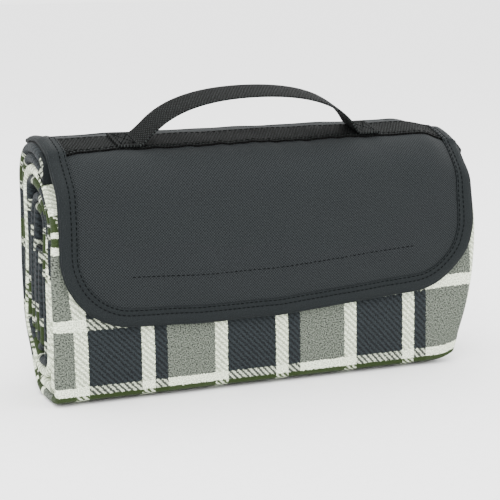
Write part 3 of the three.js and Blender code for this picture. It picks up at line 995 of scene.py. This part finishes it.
        # the pattern's coordinate equals x on the outer ply
        pattern = x[outer_ply] + np.where(beyond > 0, beyond * self.fold_take, beyond)
        faces = []
        for side in (0.5, -0.5):
            across = x + side * self.ply * right_x
            height = h + side * self.ply * right_h
            spread = self._lip_play(rows, across)
            faces.append(self.place(rows, across + spread, height * self._press(rows, across)))
        pattern = pattern + self.gather * np.clip(pattern + 15 * MM, 0, 120 * MM)
        drawn = self._drawn(rows)
        lean = self.row_rise * np.clip(drawn, 0, 70 * MM) * np.clip(pattern / (140 * MM), 0, 1)
        uv = np.stack([pattern + self._skew(rows) + self.stripe_from, drawn - lean], -1)
        piece = Sheet(faces[0], faces[1], uv, (0, 1, 1)).build("fleece_cloth")
        dress(piece, "fleece", finishes.fleece, finishes.backing)
        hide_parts("fleece_blanket", "waterproof_backing")
        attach(piece, Body.ROLL.value)
        tapes = [self._end_tape("outer", 0.0, finishes), self._end_tape("inner", self.outline.length, finishes)]

    def _drawn(self, rows: Array) -> Array:
        """Finds where each row lies in the pattern, on the outer face.

        Args:
            rows: distances along the middle line, as a column.

        Returns:
            The distance from the lowest white row at the foot of the front, as a column.
        """
        skin = self.place(rows, 0 * rows, 0 * rows + self.leg / 2)[:, 0, 1:]
        run = np.concatenate([[0.0], np.cumsum(np.linalg.norm(np.diff(skin, axis=0), axis=1))])
        front = int(np.argmin(np.abs(rows[:, 0] - self.outline.at_height(30 * MM))))
        foot = int(np.nonzero(skin[:front, 1] < self.row_foot)[0][-1])
        start = np.interp(self.row_foot, skin[foot : front + 1, 1], run[foot : front + 1])
        return (run - start)[:, None]

    def _press(self, along: Array, x: Array) -> Array:
        """Returns how much the plies are pressed together: less at the folded ends, where they spring open."""
        ends = ease((np.abs(x) - self.half + 30 * MM) / (30 * MM))
        return 0.97 + 0.05 * ends + 0.015 * np.sin(along * 31 + 2) * ends

    def _lip_play(self, along: Array, x: Array) -> Array:
        """Says how far the folds at the ends stray from a straight line.

        Args:
            along: distance along the middle line.
            x: place across.

        Returns:
            The shift in x.
        """
        left = ease((-x - 120 * MM) / (40 * MM))
        right = ease((x - 120 * MM) / (40 * MM))
        outer_leg = 1 - ease((along - 0.17) / 0.06)
        stray = 0.9 * MM * np.sin(along * 23 + 1.0) + 0.5 * MM * np.sin(along * 61)
        return left * (1.6 * MM * outer_leg - stray) + right * (stray * 0.7 - 0.6 * MM)

    def _skew(self, along: Array) -> Array:
        """Says how far the stripes have wandered sideways.

        Args:
            along: distance along the middle line.

        Returns:
            The shift in x.
        """
        foot = self.outline.at_height(20 * MM)
        climb = np.clip((along - foot) / (130 * MM), 0, 1) ** 2 * self.skew_front
        later = ease((along - foot - 380 * MM) / (60 * MM)) * self.skew_inside
        before = ease((foot - 20 * MM - along) / (70 * MM)) * self.skew_back
        return climb + later + before

    def _end_tape(self, which: str, at: float, finishes: Finishes) -> bpy.types.Object:
        """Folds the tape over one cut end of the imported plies, and dresses it.

        Args:
            which: "outer" or "inner".
            at: where that end lies along the middle line.
            finishes: the materials.

        Returns:
            The tape.
        """
        inwards = 1.0 if at == 0.0 else -1.0
        half = self.leg / 2 - 0.05 * MM
        reach = np.linspace(self.tape_reach, 0.5 * MM, 6)
        around = np.linspace(math.pi / 2, -math.pi / 2, 9)
        along = np.concatenate([reach, -1.2 * MM * np.cos(around), reach[::-1]])
        height = np.concatenate([0 * reach + half, half * np.sin(around), 0 * reach - half])
        x = np.linspace(-self.half + 1 * MM, self.half - 1 * MM, 60)
        faces = []
        for extra in (self.tape, 0.0):
            grown = height * (1 + extra / half)
            out = along - np.where(along < 0.4 * MM, extra, 0)
            faces.append(self.place((at + inwards * out)[:, None], x[None, :], grown[:, None]))
        run = np.cumsum(np.hypot(np.gradient(along), np.gradient(height)))
        uv = np.stack(np.broadcast_arrays(x[None, :], run[:, None]), -1)
        piece = Sheet(faces[0], faces[1], uv).build(f"blanket_binding_{which}")
        dress(piece, "binding", finishes.binding)
        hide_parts(f"edge_binding_{which}")
        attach(piece, Body.ROLL.value)
        return piece


@dataclass
class Flap:
    """The flap: shell and lining from the back of the top, over the shoulder and down the front, bound
    along its sides and foot, with the hook tape sewn inside and the loop tape on the roll behind it."""

    blanket: Blanket
    finishes: Finishes
    lift: float = 0.8 * MM  # from the fleece to the lining
    back: float = 28 * MM  # y of the back edge
    shoulder: float = 28 * MM
    corner: float = 46 * MM
    lining: tuple[float, float] = (0.1 * MM, 0.7 * MM)
    shell: tuple[float, float] = (0.85 * MM, 1.85 * MM)
    binding: float = 0.85 * MM
    binding_width: float = 6.4 * MM  # the folded tape
    facing: float = 4.6 * MM  # the flat tape that shows beyond it
    outline: Outline = field(init=False)

    def __post_init__(self) -> None:
        """Draws the flap's inner face over the roll."""
        low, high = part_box("flap_shell")
        self.half = high[0]
        self.foot = low[2]
        out = self.blanket.leg / 2 + self.lift
        slope = self.blanket.slope_edge.inset(-out)
        level = Edge(self.blanket.kink, self.blanket.slope_edge.z, 0).inset(-out)
        front = Edge(self.blanket.front, 0, 90).inset(-out)
        corners = [
            (self.back, level.z - 2.2 * MM, 0.0),
            (self.back - 9 * MM, level.z, 12 * MM),
            (*slope.meets(level), 26 * MM),
            (*slope.meets(front), self.shoulder),
            (front.y, self.foot, 0.0),
        ]
        self.outline = Outline(corners, outward=-1.0)
        self.length = self.outline.length
        self.tape_low = self.length - 33.5 * MM
        self.tape_high = self.length - 13.5 * MM

    def along_at_y(self, y: float) -> float:
        """Returns the distance from the back edge to this y, on the top."""
        along = np.linspace(0, 0.5 * self.length, 3000)
        return float(along[np.argmin(np.abs(self.outline.point(along)[:, 0] - y))])

    def relief(self, along: Array, x: Array) -> Array:
        """Says how far the flap stands off the roll: over the tapes, and in small puckers at its seams.

        Args:
            along: distance from the back edge.
            x: place across.

        Returns:
            The distance out.
        """
        over = ease((along - self.tape_low + 16 * MM) / (14 * MM))
        over = over * (1 - 0.35 * ease((along - self.tape_high) / (12 * MM)))
        seam = self.along_at_y(-20 * MM)
        below = np.clip(along - seam, 0, None)
        pucker = np.exp(-below / (11 * MM)) * (along > seam) * ripple(x, 0 * along, 15 * MM, 11)
        pull = np.exp(-(((np.abs(x + 4 * MM) - 84 * MM) / (20 * MM)) ** 2))
        pull = pull * np.exp(-(((below - 16 * MM) / (12 * MM)) ** 2))
        quilt = ripple(x, along, 42 * MM, 5) * 0.28 * MM
        line = np.exp(-(((along - self.tape_low - 1.2 * MM) / (1.5 * MM)) ** 2)) * (np.abs(x) < 109 * MM)
        gathered = np.exp(-(((along - self.tape_low + 2.5 * MM) / (4.5 * MM)) ** 2)) * (np.abs(x) < 112 * MM)
        gathers = 0.5 * MM * ripple(x, 0 * along, 10 * MM, 17) * gathered
        standing = 1.75 * MM * over + 0.45 * MM * pucker + quilt + gathers
        return standing - 1.1 * MM * pull * (along > seam) - 0.6 * MM * line

    def place(self, along: Array, x: Array, out: Array) -> Array:
        """Finds points of the settled flap.

        Args:
            along: distance from the back edge.
            x: place across.
            out: distance out from its inner face.

        Returns:
            The points, in the row frame.
        """
        along = along - self.hem_lift(x) * ease((along - 45 * MM) / (self.length - 60 * MM))
        middle = self.outline.point(along)
        normal = self.outline.normal(along)
        off = out + self.relief(along, x)
        x = x - 1 * MM
        y = middle[..., 0] + off * normal[..., 0]
        z = middle[..., 1] + off * normal[..., 1]
        return SETTLE(np.stack(np.broadcast_arrays(x, y, z), -1))

    def hem_lift(self, x: Array) -> Array:
        """Returns how much higher the flap's foot hangs at x than the pattern says."""
        return 1 * MM + np.clip(x, 0, None) * 0.072 + np.clip(-x - 60 * MM, 0, None) * 0.05

    def _grid(self, inset: float) -> tuple[Array, Array]:
        """Lays out the flap's grid, with rounded lower corners.

        Args:
            inset: how far in from its edge the grid stops.

        Returns:
            The distance along and the x of each point.
        """
        half = self.half - inset
        foot = self.length - inset
        radius = self.corner - inset
        straight = np.arange(inset if inset < 0 else 0.0, foot - radius, 3.2 * MM)
        angle = np.linspace(0, math.pi / 2, 15)
        along = np.concatenate([straight, foot - radius + radius * np.sin(angle)])
        width = np.concatenate([0 * straight + half, half - radius + radius * np.cos(angle)])
        across = np.linspace(-1, 1, 97)
        return along[:, None] + 0 * across, width[:, None] * across

    def _layer(
        self, name: str, span: tuple[float, float], slot: str, finish: bpy.types.Material
    ) -> bpy.types.Object:
        """Builds one cloth of the flap.

        Args:
            name: the piece's name.
            span: where its two faces lie, out from the inner face.
            slot: the record's slot.
            finish: its material.

        Returns:
            The cloth.
        """
        along, x = self._grid(0.8 * MM)
        uv = np.stack([x, along], -1)
        piece = Sheet(self.place(along, x, span[1]), self.place(along, x, span[0]), uv).build(name)
        dress(piece, slot, finish)
        return piece

    def _rim(self, inset: float) -> tuple[Array, Array]:
        """Draws the line that runs down one side, round the foot and up the other.

        Args:
            inset: how far in from the edge it runs.

        Returns:
            The distance along and the x of each point.
        """
        half, foot, radius = self.half - inset, self.length - inset, self.corner - inset
        down = np.arange(0.0, self.length - self.corner, 3 * MM)
        angle = np.linspace(0, math.pi / 2, 18)
        base = np.linspace(-1, 1, 90)[1:-1] * (self.half - self.corner)
        along = [down, foot - radius + radius * np.sin(angle), foot + 0 * base]
        x = [0 * down - half, -half + radius - radius * np.cos(angle), base]
        along += [along[1][::-1], down[::-1]]
        x += [-x[1][::-1], half + 0 * down]
        return np.concatenate(along), np.concatenate(x)

    def _binding(self) -> bpy.types.Object:
        """Folds the tape over the flap's edge, with its flat facing, as one strip round both faces.

        Returns:
            The binding.
        """
        low, high = self.lining[0] - 0.05 * MM, self.shell[1] + 0.05 * MM
        reach = np.linspace(self.binding_width, 0.6 * MM, 10)
        facing = np.linspace(self.binding_width + self.facing, self.binding_width + 0.5 * MM, 6)
        around = np.linspace(math.pi / 2, -math.pi / 2, 9)
        middle, half = (low + high) / 2, (high - low) / 2
        crown = 0.75 * MM * np.sin(np.linspace(0.0, math.pi * 0.85, len(reach))) ** 0.8
        flat = 0.25 * MM * np.sin(np.linspace(0.4, math.pi * 0.95, len(facing))) - 0.25 * MM
        inset = np.concatenate([facing, reach, -0.9 * MM * np.cos(around), reach[::-1]])
        fold = middle + half * np.sin(around)
        out = np.concatenate([high + flat, high + crown - 0.2 * MM, fold, 0 * reach + low])
        outward = np.concatenate([0 * facing, 0 * reach, np.cos(around), 0 * reach])
        upward = np.concatenate([0 * facing + 1, 0 * reach + 1, np.sin(around), 0 * reach - 1])
        upper, lower = [], []
        for depth, height, side, rise in zip(inset, out, outward, upward):
            for face, extra in ((upper, self.binding), (lower, 0.0)):
                along, x = self._rim(depth - side * extra)
                face.append(self.place(along, x, height + rise * extra + self._over_band(along, rise)))
        along, x = self._rim(0.0)
        run = np.concatenate([[0.0], np.cumsum(np.hypot(np.diff(along), np.diff(x)))])
        width = np.concatenate([[0.0], np.cumsum(np.hypot(np.diff(inset), np.diff(out)))])
        uv = np.stack(np.broadcast_arrays(run[None, :], width[:, None]), -1)
        piece = Sheet(np.array(upper), np.array(lower), uv).build("flap_edge_binding")
        dress(piece, "binding", self.finishes.binding)
        return piece

    def _over_band(self, along: Array, rise: float) -> Array:
        """Lifts the binding where the band's ends lie under it.

        Args:
            along: distance from the back edge.
            rise: 1 on the flap's face, -1 on its back.

        Returns:
            The distance out.
        """
        front = self.along_at_y(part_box("anchor_band")[1][1])
        start = ease((along - front + 2 * MM) / (2 * MM))
        return 1.5 * MM * max(rise, 0.0) * start * ease((front + 27 * MM - along) / (2 * MM))

    def _back_hem(self) -> bpy.types.Object:
        """Folds the narrow tape over the flap's back edge.

        Returns:
            The tape.
        """
        reach = np.linspace(7 * MM, 0.5 * MM, 6)
        around = np.linspace(math.pi / 2, -math.pi / 2, 9)
        low, high = self.lining[0] - 0.1 * MM, self.shell[1] + 0.1 * MM
        middle, half = (low + high) / 2, (high - low) / 2
        along = np.concatenate([reach, -0.8 * MM * np.cos(around), reach[::-1]])
        out = np.concatenate([high + 0 * reach, middle + half * np.sin(around), low + 0 * reach])
        side = np.concatenate([0 * reach, np.cos(around), 0 * reach])
        rise = np.concatenate([0 * reach + 1, np.sin(around), 0 * reach - 1])
        x = np.linspace(-self.half, self.half, 90)[None, :]
        faces = []
        for extra in (0.6 * MM, 0.0):
            faces.append(self.place((along - side * extra)[:, None], x, (out + rise * extra)[:, None]))
        width = np.concatenate([[0.0], np.cumsum(np.hypot(np.diff(along), np.diff(out)))])
        uv = np.stack(np.broadcast_arrays(x, width[:, None]), -1)
        piece = Sheet(faces[0], faces[1], uv).build("flap_back_hem")
        dress(piece, "binding", self.finishes.binding)
        return piece

    def _tape(
        self, name: str, span: tuple[float, float], on_roll: bool, finish: bpy.types.Material
    ) -> bpy.types.Object:
        """Builds one closure tape.

        Args:
            name: the piece's name.
            span: where its two faces lie, out from the inner face.
            on_roll: whether it lies on the roll or follows the flap.
            finish: its material.

        Returns:
            The tape.
        """
        low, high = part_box("hook_tape")
        along = np.linspace(self.tape_low + 0.6 * MM, self.tape_high - 0.4 * MM, 9)[:, None]
        x = np.linspace(low[0], high[0], 80)[None, :]
        stay = self.relief(along, x) if on_roll else 0.0
        faces = [self.place(along, x, value - stay) for value in (span[1], span[0])]
        uv = np.stack(np.broadcast_arrays(x, along), -1)
        piece = Sheet(faces[0], faces[1], uv).build(name)
        dress(piece, "tape", finish)
        return piece

    def build(self) -> None:
        """Builds and dresses the whole flap, and hangs the back hem, the hook tape and the loop tape on their
        bodies.
        """
        shell = self._layer("flap_outer_cloth", self.shell, "shell", self.finishes.shell)
        lining = self._layer("flap_inner_cloth", self.lining, "lining", self.finishes.lining)
        binding = self._binding()
        hem = self._back_hem()
        hooks = self._tape("closure_hook_tape", (-1.05 * MM, 0.05 * MM), False, self.finishes.hooks)
        loops = self._tape("closure_loop_tape", (-0.75 * MM, 0.45 * MM), True, self.finishes.loops)
        seams = self._seams()
        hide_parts("flap_shell", "flap_top_shell")
        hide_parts("flap_lining", "flap_top_lining")
        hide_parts("flap_binding", "flap_top_binding_left", "flap_top_binding_right")
        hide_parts("hook_tape")
        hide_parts("loop_tape")
        for piece in (shell, lining, binding, *seams):
            self._bend(piece)
        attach(hem, Body.ROLL.value)
        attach(hooks, Body.FLAP.value)
        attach(loops, Body.ROLL.value)

    def _bend(self, piece: bpy.types.Object) -> None:
        """Bakes a piece's transform into its mesh.

        Args:
            piece: a piece that crosses the shoulder.
        """
        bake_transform(piece)

    def _seams(self) -> list[bpy.types.Object]:
        """Sews the rows of stitches on the binding and along the closure tape.

        Returns:
            The rows.
        """
        seams = []
        for name, inset, out in (("fold", 0.1 * MM, 0.1 * MM), ("facing", self.facing - 1.1 * MM, 0.2 * MM)):
            along, x = self._rim(self.binding_width + inset)
            height = self.shell[1] + self.binding + out + self._over_band(along, 1.0)
            seams.append(self._row(f"seam_binding_{name}", along, x, height))
        edge = np.linspace(-1, 1, 160) * (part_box("hook_tape")[1][0] - 1 * MM)
        upper = self.tape_low + 1.2 * MM + 0 * edge
        seams.append(self._row("seam_tape_upper", upper, edge, self.shell[1] + 0.02 * MM))
        return seams

    def _row(self, name: str, along: Array, x: Array, out: float) -> bpy.types.Object:
        """Sews one row of stitches on the flap's face.

        Args:
            name: the piece's name.
            along: distance from the back edge.
            x: place across.
            out: distance out from the inner face.

        Returns:
            The row.
        """
        points = self.place(along, x, out + 0 * along)
        above = self.place(along, x, out + 1 * MM + 0 * along)
        return stitched(name, points, unit(above - points), self.finishes.thread)


def joint_place(name: str) -> Vector:
    """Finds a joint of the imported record.

    Args:
        name: the joint's name.

    Returns:
        Where it sits, in metres.
    """
    for joint in frame["record"]["behaviour"]["joints"]:
        if joint["name"] == name:
            return Vector(joint["pos_m"])
    raise KeyError(name)


def stitched(
    name: str,
    line: Array,
    up: Array,
    finish: bpy.types.Material,
    length: float = 2.5 * MM,
    gap: float = 1.0 * MM,
    width: float = 0.55 * MM,
) -> bpy.types.Object:
    """Sews a row of stitches along a line.

    Args:
        name: the piece's name.
        line: the points of the seam.
        up: the outward direction at each of them.
        finish: the thread.
        length: of one stitch.
        gap: between two stitches.
        width: of the thread.

    Returns:
        The row as one object, dressed.
    """
    run = np.concatenate([[0.0], np.cumsum(np.linalg.norm(np.diff(line, axis=0), axis=1))])
    count = max(1, int(run[-1] / (length + gap)))
    centres = (np.arange(count) + 0.5) * run[-1] / count

    def read(where: Array, values: Array) -> Array:
        """Returns the values at these distances along the seam."""
        return np.stack([np.interp(where, run, values[:, i]) for i in range(3)], -1)

    middle = read(centres, line)
    ahead = unit(read(centres + length / 2, line) - read(centres - length / 2, line))
    out = unit(read(centres, up))
    side = unit(np.cross(out, ahead))
    out = np.cross(ahead, side)
    places = np.stack([ahead * length, side * width, out * width, middle], -1)
    piece = copies_of(name, stitch_model(), places)
    dress(piece, "thread", finish)
    return piece


@dataclass
class Carry:
    """The webbing band across the top and the strap sewn on it as a handle."""

    flap: Flap
    finishes: Finishes
    band_thick: float = 1.5 * MM
    strap_thick: float = 1.7 * MM
    tack_in: float = 3.2 * MM  # from the strap's edge to its stitched square
    seam_in: float = 2.2 * MM  # from the band's edge to its row of stitches
    foot: float = 84 * MM  # from the strap's centre to where it leaves the band
    pull: float = 8 * MM  # how far it runs on before it turns up
    haunch: float = 74 * MM  # from its centre to the shoulders of the arch
    rise: float = 31 * MM
    lean: float = 0.0  # degrees back from square to the band

    def __post_init__(self) -> None:
        """Reads the band's and the strap's places from the CAD."""
        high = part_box("anchor_band")[1]
        self.band_half = high[0] - 6 * MM  # its ends lie under the flap's binding
        self.front = self.flap.along_at_y(high[1])
        self.width = 25 * MM
        self.centre = joint_place("handle_lean").x
        self.reach = self.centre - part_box("handle_end_left")[0][0]

    def _band_out(self) -> float:
        """Returns the band's inner face, out from the flap's inner face."""
        return self.flap.shell[1] + 0.15 * MM

    def _on_band(self, across: Array, x: Array, out: Array) -> Array:
        """Finds points over the band.

        Args:
            across: distance from its front edge, towards the back.
            x: place along it.
            out: distance out from its outer face.

        Returns:
            The points, in the row frame.
        """
        along = self.front + across
        over = self._band_out() + self.band_thick + out
        return self.flap.place(along, x, over)

    def _band(self) -> bpy.types.Object:
        """Sews the band flat over the top of the flap, from side to side.

        Returns:
            The band.
        """
        across = np.linspace(0, self.width, 13)[:, None]
        x = np.linspace(-self.band_half + 0.5 * MM, self.band_half - 0.5 * MM, 120)[None, :]
        edge = -0.35 * MM * np.abs(across / self.width * 2 - 1) ** 6
        upper = self._on_band(across, x, edge)
        lower = self._on_band(across, x, -self.band_thick)
        uv = np.stack(np.broadcast_arrays(x, across), -1)
        piece = Sheet(upper, lower, uv).build("top_band")
        dress(piece, "webbing", self.finishes.webbing)
        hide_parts("anchor_band")
        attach(piece, Body.ROLL.value)
        return piece

    def _strap_line(self) -> tuple[Array, Array]:
        """Draws the strap's middle line, from one sewn end to the other.

        Returns:
            Its x from the strap's centre, and its height over the band.
        """
        flat = self.strap_thick / 2 + 0.1 * MM
        top = flat + self.rise
        t = np.linspace(0, 1, 60)[:, None]
        control = np.array([[-self.foot, flat], [-self.foot + self.pull, flat], [-self.haunch, top], [0, top]])
        rise = (
            (1 - t) ** 3 * control[0]
            + 3 * (1 - t) ** 2 * t * control[1]
            + 3 * (1 - t) * t**2 * control[2]
            + t**3 * control[3]
        )
        end = np.stack([np.linspace(-self.reach, -self.foot, 10)[:-1], np.full(9, flat)], -1)
        left = np.concatenate([end, rise])
        line = np.concatenate([left, left[-2::-1] * [-1, 1]])
        return line[:, 0], line[:, 1]

    def _strap_frame(self, x: Array, height: Array) -> tuple[Array, Array, Array]:
        """Stands the strap on the band.

        Args:
            x: place along the strap's line, from its centre.
            height: height over the band.

        Returns:
            The strap's middle, its width direction and the band's outward direction at each point.
        """
        middle = self.width / 2 + 0 * x
        on = self._on_band(middle, x + self.centre, 0 * x)
        back = self._on_band(middle - 5 * MM, x + self.centre, 0 * x)
        wide = unit(back - on)
        flat = np.median(on[np.abs(x) < self.foot], axis=0)
        hold = ease(height / (9 * MM))[:, None]
        base = on * (1 - hold) + np.stack([x + self.centre, flat[1] + 0 * x, flat[2] + 0 * x], -1) * hold
        mean_wide = unit(np.median(wide, axis=0))
        wide = unit(wide * (1 - hold) + mean_wide * hold)
        outward = unit(np.cross(np.array([1.0, 0, 0]), wide))
        angle = np.radians(self.lean) * ease(height / (14 * MM))[:, None]
        leaned_out = outward * np.cos(angle) + wide * np.sin(angle)
        leaned_wide = wide * np.cos(angle) - outward * np.sin(angle)
        return base + leaned_out * height[:, None], leaned_wide, leaned_out

    def _strap(self) -> bpy.types.Object:
        """Builds the handle: one strap, sewn flat at its ends and arched between them.

        Returns:
            The strap.
        """
        x, height = self._strap_line()
        middle, wide, outward = self._strap_frame(x, height)
        ahead = unit(np.gradient(middle, axis=0))
        normal = unit(np.cross(ahead, wide))
        if np.median((normal * outward).sum(-1)) < 0:
            normal = -normal
        across = np.linspace(-0.5, 0.5, 13)
        thin = 1 - 0.25 * np.abs(2 * across) ** 5
        upper, lower = [], []
        for where, thick in zip(across, thin):
            line = middle + wide * where * self.width
            upper.append(line + normal * self.strap_thick / 2 * thick)
            lower.append(line - normal * self.strap_thick / 2 * thick)
        run = np.concatenate([[0.0], np.cumsum(np.linalg.norm(np.diff(middle, axis=0), axis=1))])
        uv = np.stack(np.broadcast_arrays(run[None, :], (across * self.width)[:, None]), -1)
        piece = Sheet(np.array(upper), np.array(lower), uv).build("carry_handle_strap")
        dress(piece, "webbing", self.finishes.webbing)
        self.strap_length = float(run[-1])
        return piece

    def _tacks(self) -> list[bpy.types.Object]:
        """Sews the stitched square with its cross on each end of the strap.

        Returns:
            The two squares.
        """
        tacks = []
        for name, sign in (("left", -1.0), ("right", 1.0)):
            outer, inner = self.reach - 3 * MM, self.foot + 1.5 * MM
            near, far = self.tack_in, self.width - self.tack_in
            path = [(outer, near), (inner, near), (inner, far), (outer, far), (outer, near), (inner, far)]
            path += [(inner, near), (outer, far)]
            line = np.concatenate(
                [np.linspace(a, b, 12, endpoint=False) for a, b in zip(path, path[1:])] + [np.array(path[-1:])]
            )
            x = self.centre + sign * line[:, 0]
            points = self._on_band(line[:, 1], x, self.strap_thick + 0.22 * MM + 0 * x)
            above = self._on_band(line[:, 1], x, self.strap_thick + 1.2 * MM + 0 * x)
            up = unit(above - points)
            piece = stitched(f"tack_{name}", points, up, self.finishes.thread, 2.2 * MM, 0.5 * MM)
            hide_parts(f"handle_tack_{name}")
            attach(piece, Body.ROLL.value)
            tacks.append(piece)
        return tacks

    def _band_seams(self) -> list[bpy.types.Object]:
        """Sews the rows of stitches along both edges of the band.

        Returns:
            The rows.
        """
        seams = []
        for name, across in (("back", self.seam_in), ("front", self.width - self.seam_in)):
            x = np.linspace(-self.band_half + 2 * MM, self.band_half - 2 * MM, 200)
            points = self._on_band(across + 0 * x, x, 0.1 * MM + 0 * x)
            above = self._on_band(across + 0 * x, x, 1.1 * MM + 0 * x)
            piece = stitched(
                f"seam_band_{name}", points, unit(above - points), self.finishes.thread, 3.0 * MM, 1.1 * MM
            )
            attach(piece, Body.ROLL.value)
            seams.append(piece)
        return seams

    def build(self) -> None:
        """Builds, dresses and fastens the band and the handle."""
        band = self._band()
        strap = self._strap()
        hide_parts("handle_end_left", "handle_arch", "handle_end_right")
        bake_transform(strap)
        tacks = self._tacks()
        seams = self._band_seams()
        log.info("handle strap: %.0f mm", self.strap_length / MM)


@dataclass
class Studio:
    """The pale floor, the soft lights and the camera."""

    azimuth: float = -23.88  # degrees round from the front, towards the left end
    elevation: float = 10.88  # degrees above the horizontal
    distance: float = 1.2005  # metres from the target
    focal: float = 119.7
    target: tuple[float, float, float] = (3.5 * MM, 11 * MM, 85.4 * MM)
    air: float = 3.0  # brightness of the even light all round

    def build(self) -> None:
        """Builds the floor, the lights, the world and the camera."""
        self._floor()
        self._lights()
        self._camera()

    def _floor(self) -> None:
        """Lays a wide pale floor just under the bundle."""
        bpy.ops.object.select_all(action="DESELECT")
        under = (0, 0, -0.3 * MM)
        bpy.ops.mesh.primitive_grid_add(x_subdivisions=4, y_subdivisions=4, size=12, location=under)
        floor = bpy.context.active_object
        bpy.ops.object.transform_apply(location=True, rotation=True, scale=True)
        floor.name = "studio_floor"
        floor.data.materials.append(Plain("white_studio_paper", "#f4f4f4", "#fafafa", 8.0, 0.9, 0.01).make())

    def _lights(self) -> None:
        """Hangs the soft lights and a bright even world."""
        world = bpy.data.worlds.new("studio_air")
        bpy.context.scene.world = world
        world.use_nodes = True
        world.node_tree.nodes["Background"].inputs[0].default_value = (1.0, 1.0, 1.0, 1.0)
        world.node_tree.nodes["Background"].inputs[1].default_value = self.air
        for name, place, size, power in (
            ("key_light", (-0.7, -1.3, 1.3), 1.0, 26.0),
            ("fill_light", (1.3, -1.2, 0.7), 1.4, 6.5),
            ("top_light", (0.1, 0.3, 1.5), 1.3, 15.0),
        ):
            light = bpy.data.lights.new(name, "AREA")
            light.size = size
            light.energy = power
            lamp = bpy.data.objects.new(name, light)
            lamp.location = place
            lamp.rotation_euler = (Vector((0, 0, 0.08)) - Vector(place)).to_track_quat("-Z", "Y").to_euler()
            bpy.context.scene.collection.objects.link(lamp)

    def _camera(self) -> None:
        """Sets the camera."""
        turn, rise = math.radians(self.azimuth), math.radians(self.elevation)
        back = Vector((math.sin(turn) * math.cos(rise), -math.cos(turn) * math.cos(rise), math.sin(rise)))
        camera = bpy.data.cameras.new("camera")
        camera.lens = self.focal
        camera.sensor_width = 36.0
        holder = bpy.data.objects.new("camera", camera)
        holder.location = Vector(self.target) + back * self.distance
        holder.rotation_euler = (-back).to_track_quat("-Z", "Y").to_euler()
        bpy.context.scene.collection.objects.link(holder)
        bpy.context.scene.camera = holder


def main() -> None:
    """Builds the studio and the blanket's sub-assemblies in order."""
    logging.basicConfig(level=logging.INFO, format="%(message)s")
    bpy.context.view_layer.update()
    Studio().build()
    finishes = Finishes()
    blanket = Blanket()
    blanket.build(finishes)
    flap = Flap(blanket, finishes)
    flap.build()
    Carry(flap, finishes).build()


if __name__ == "__main__":
    main()
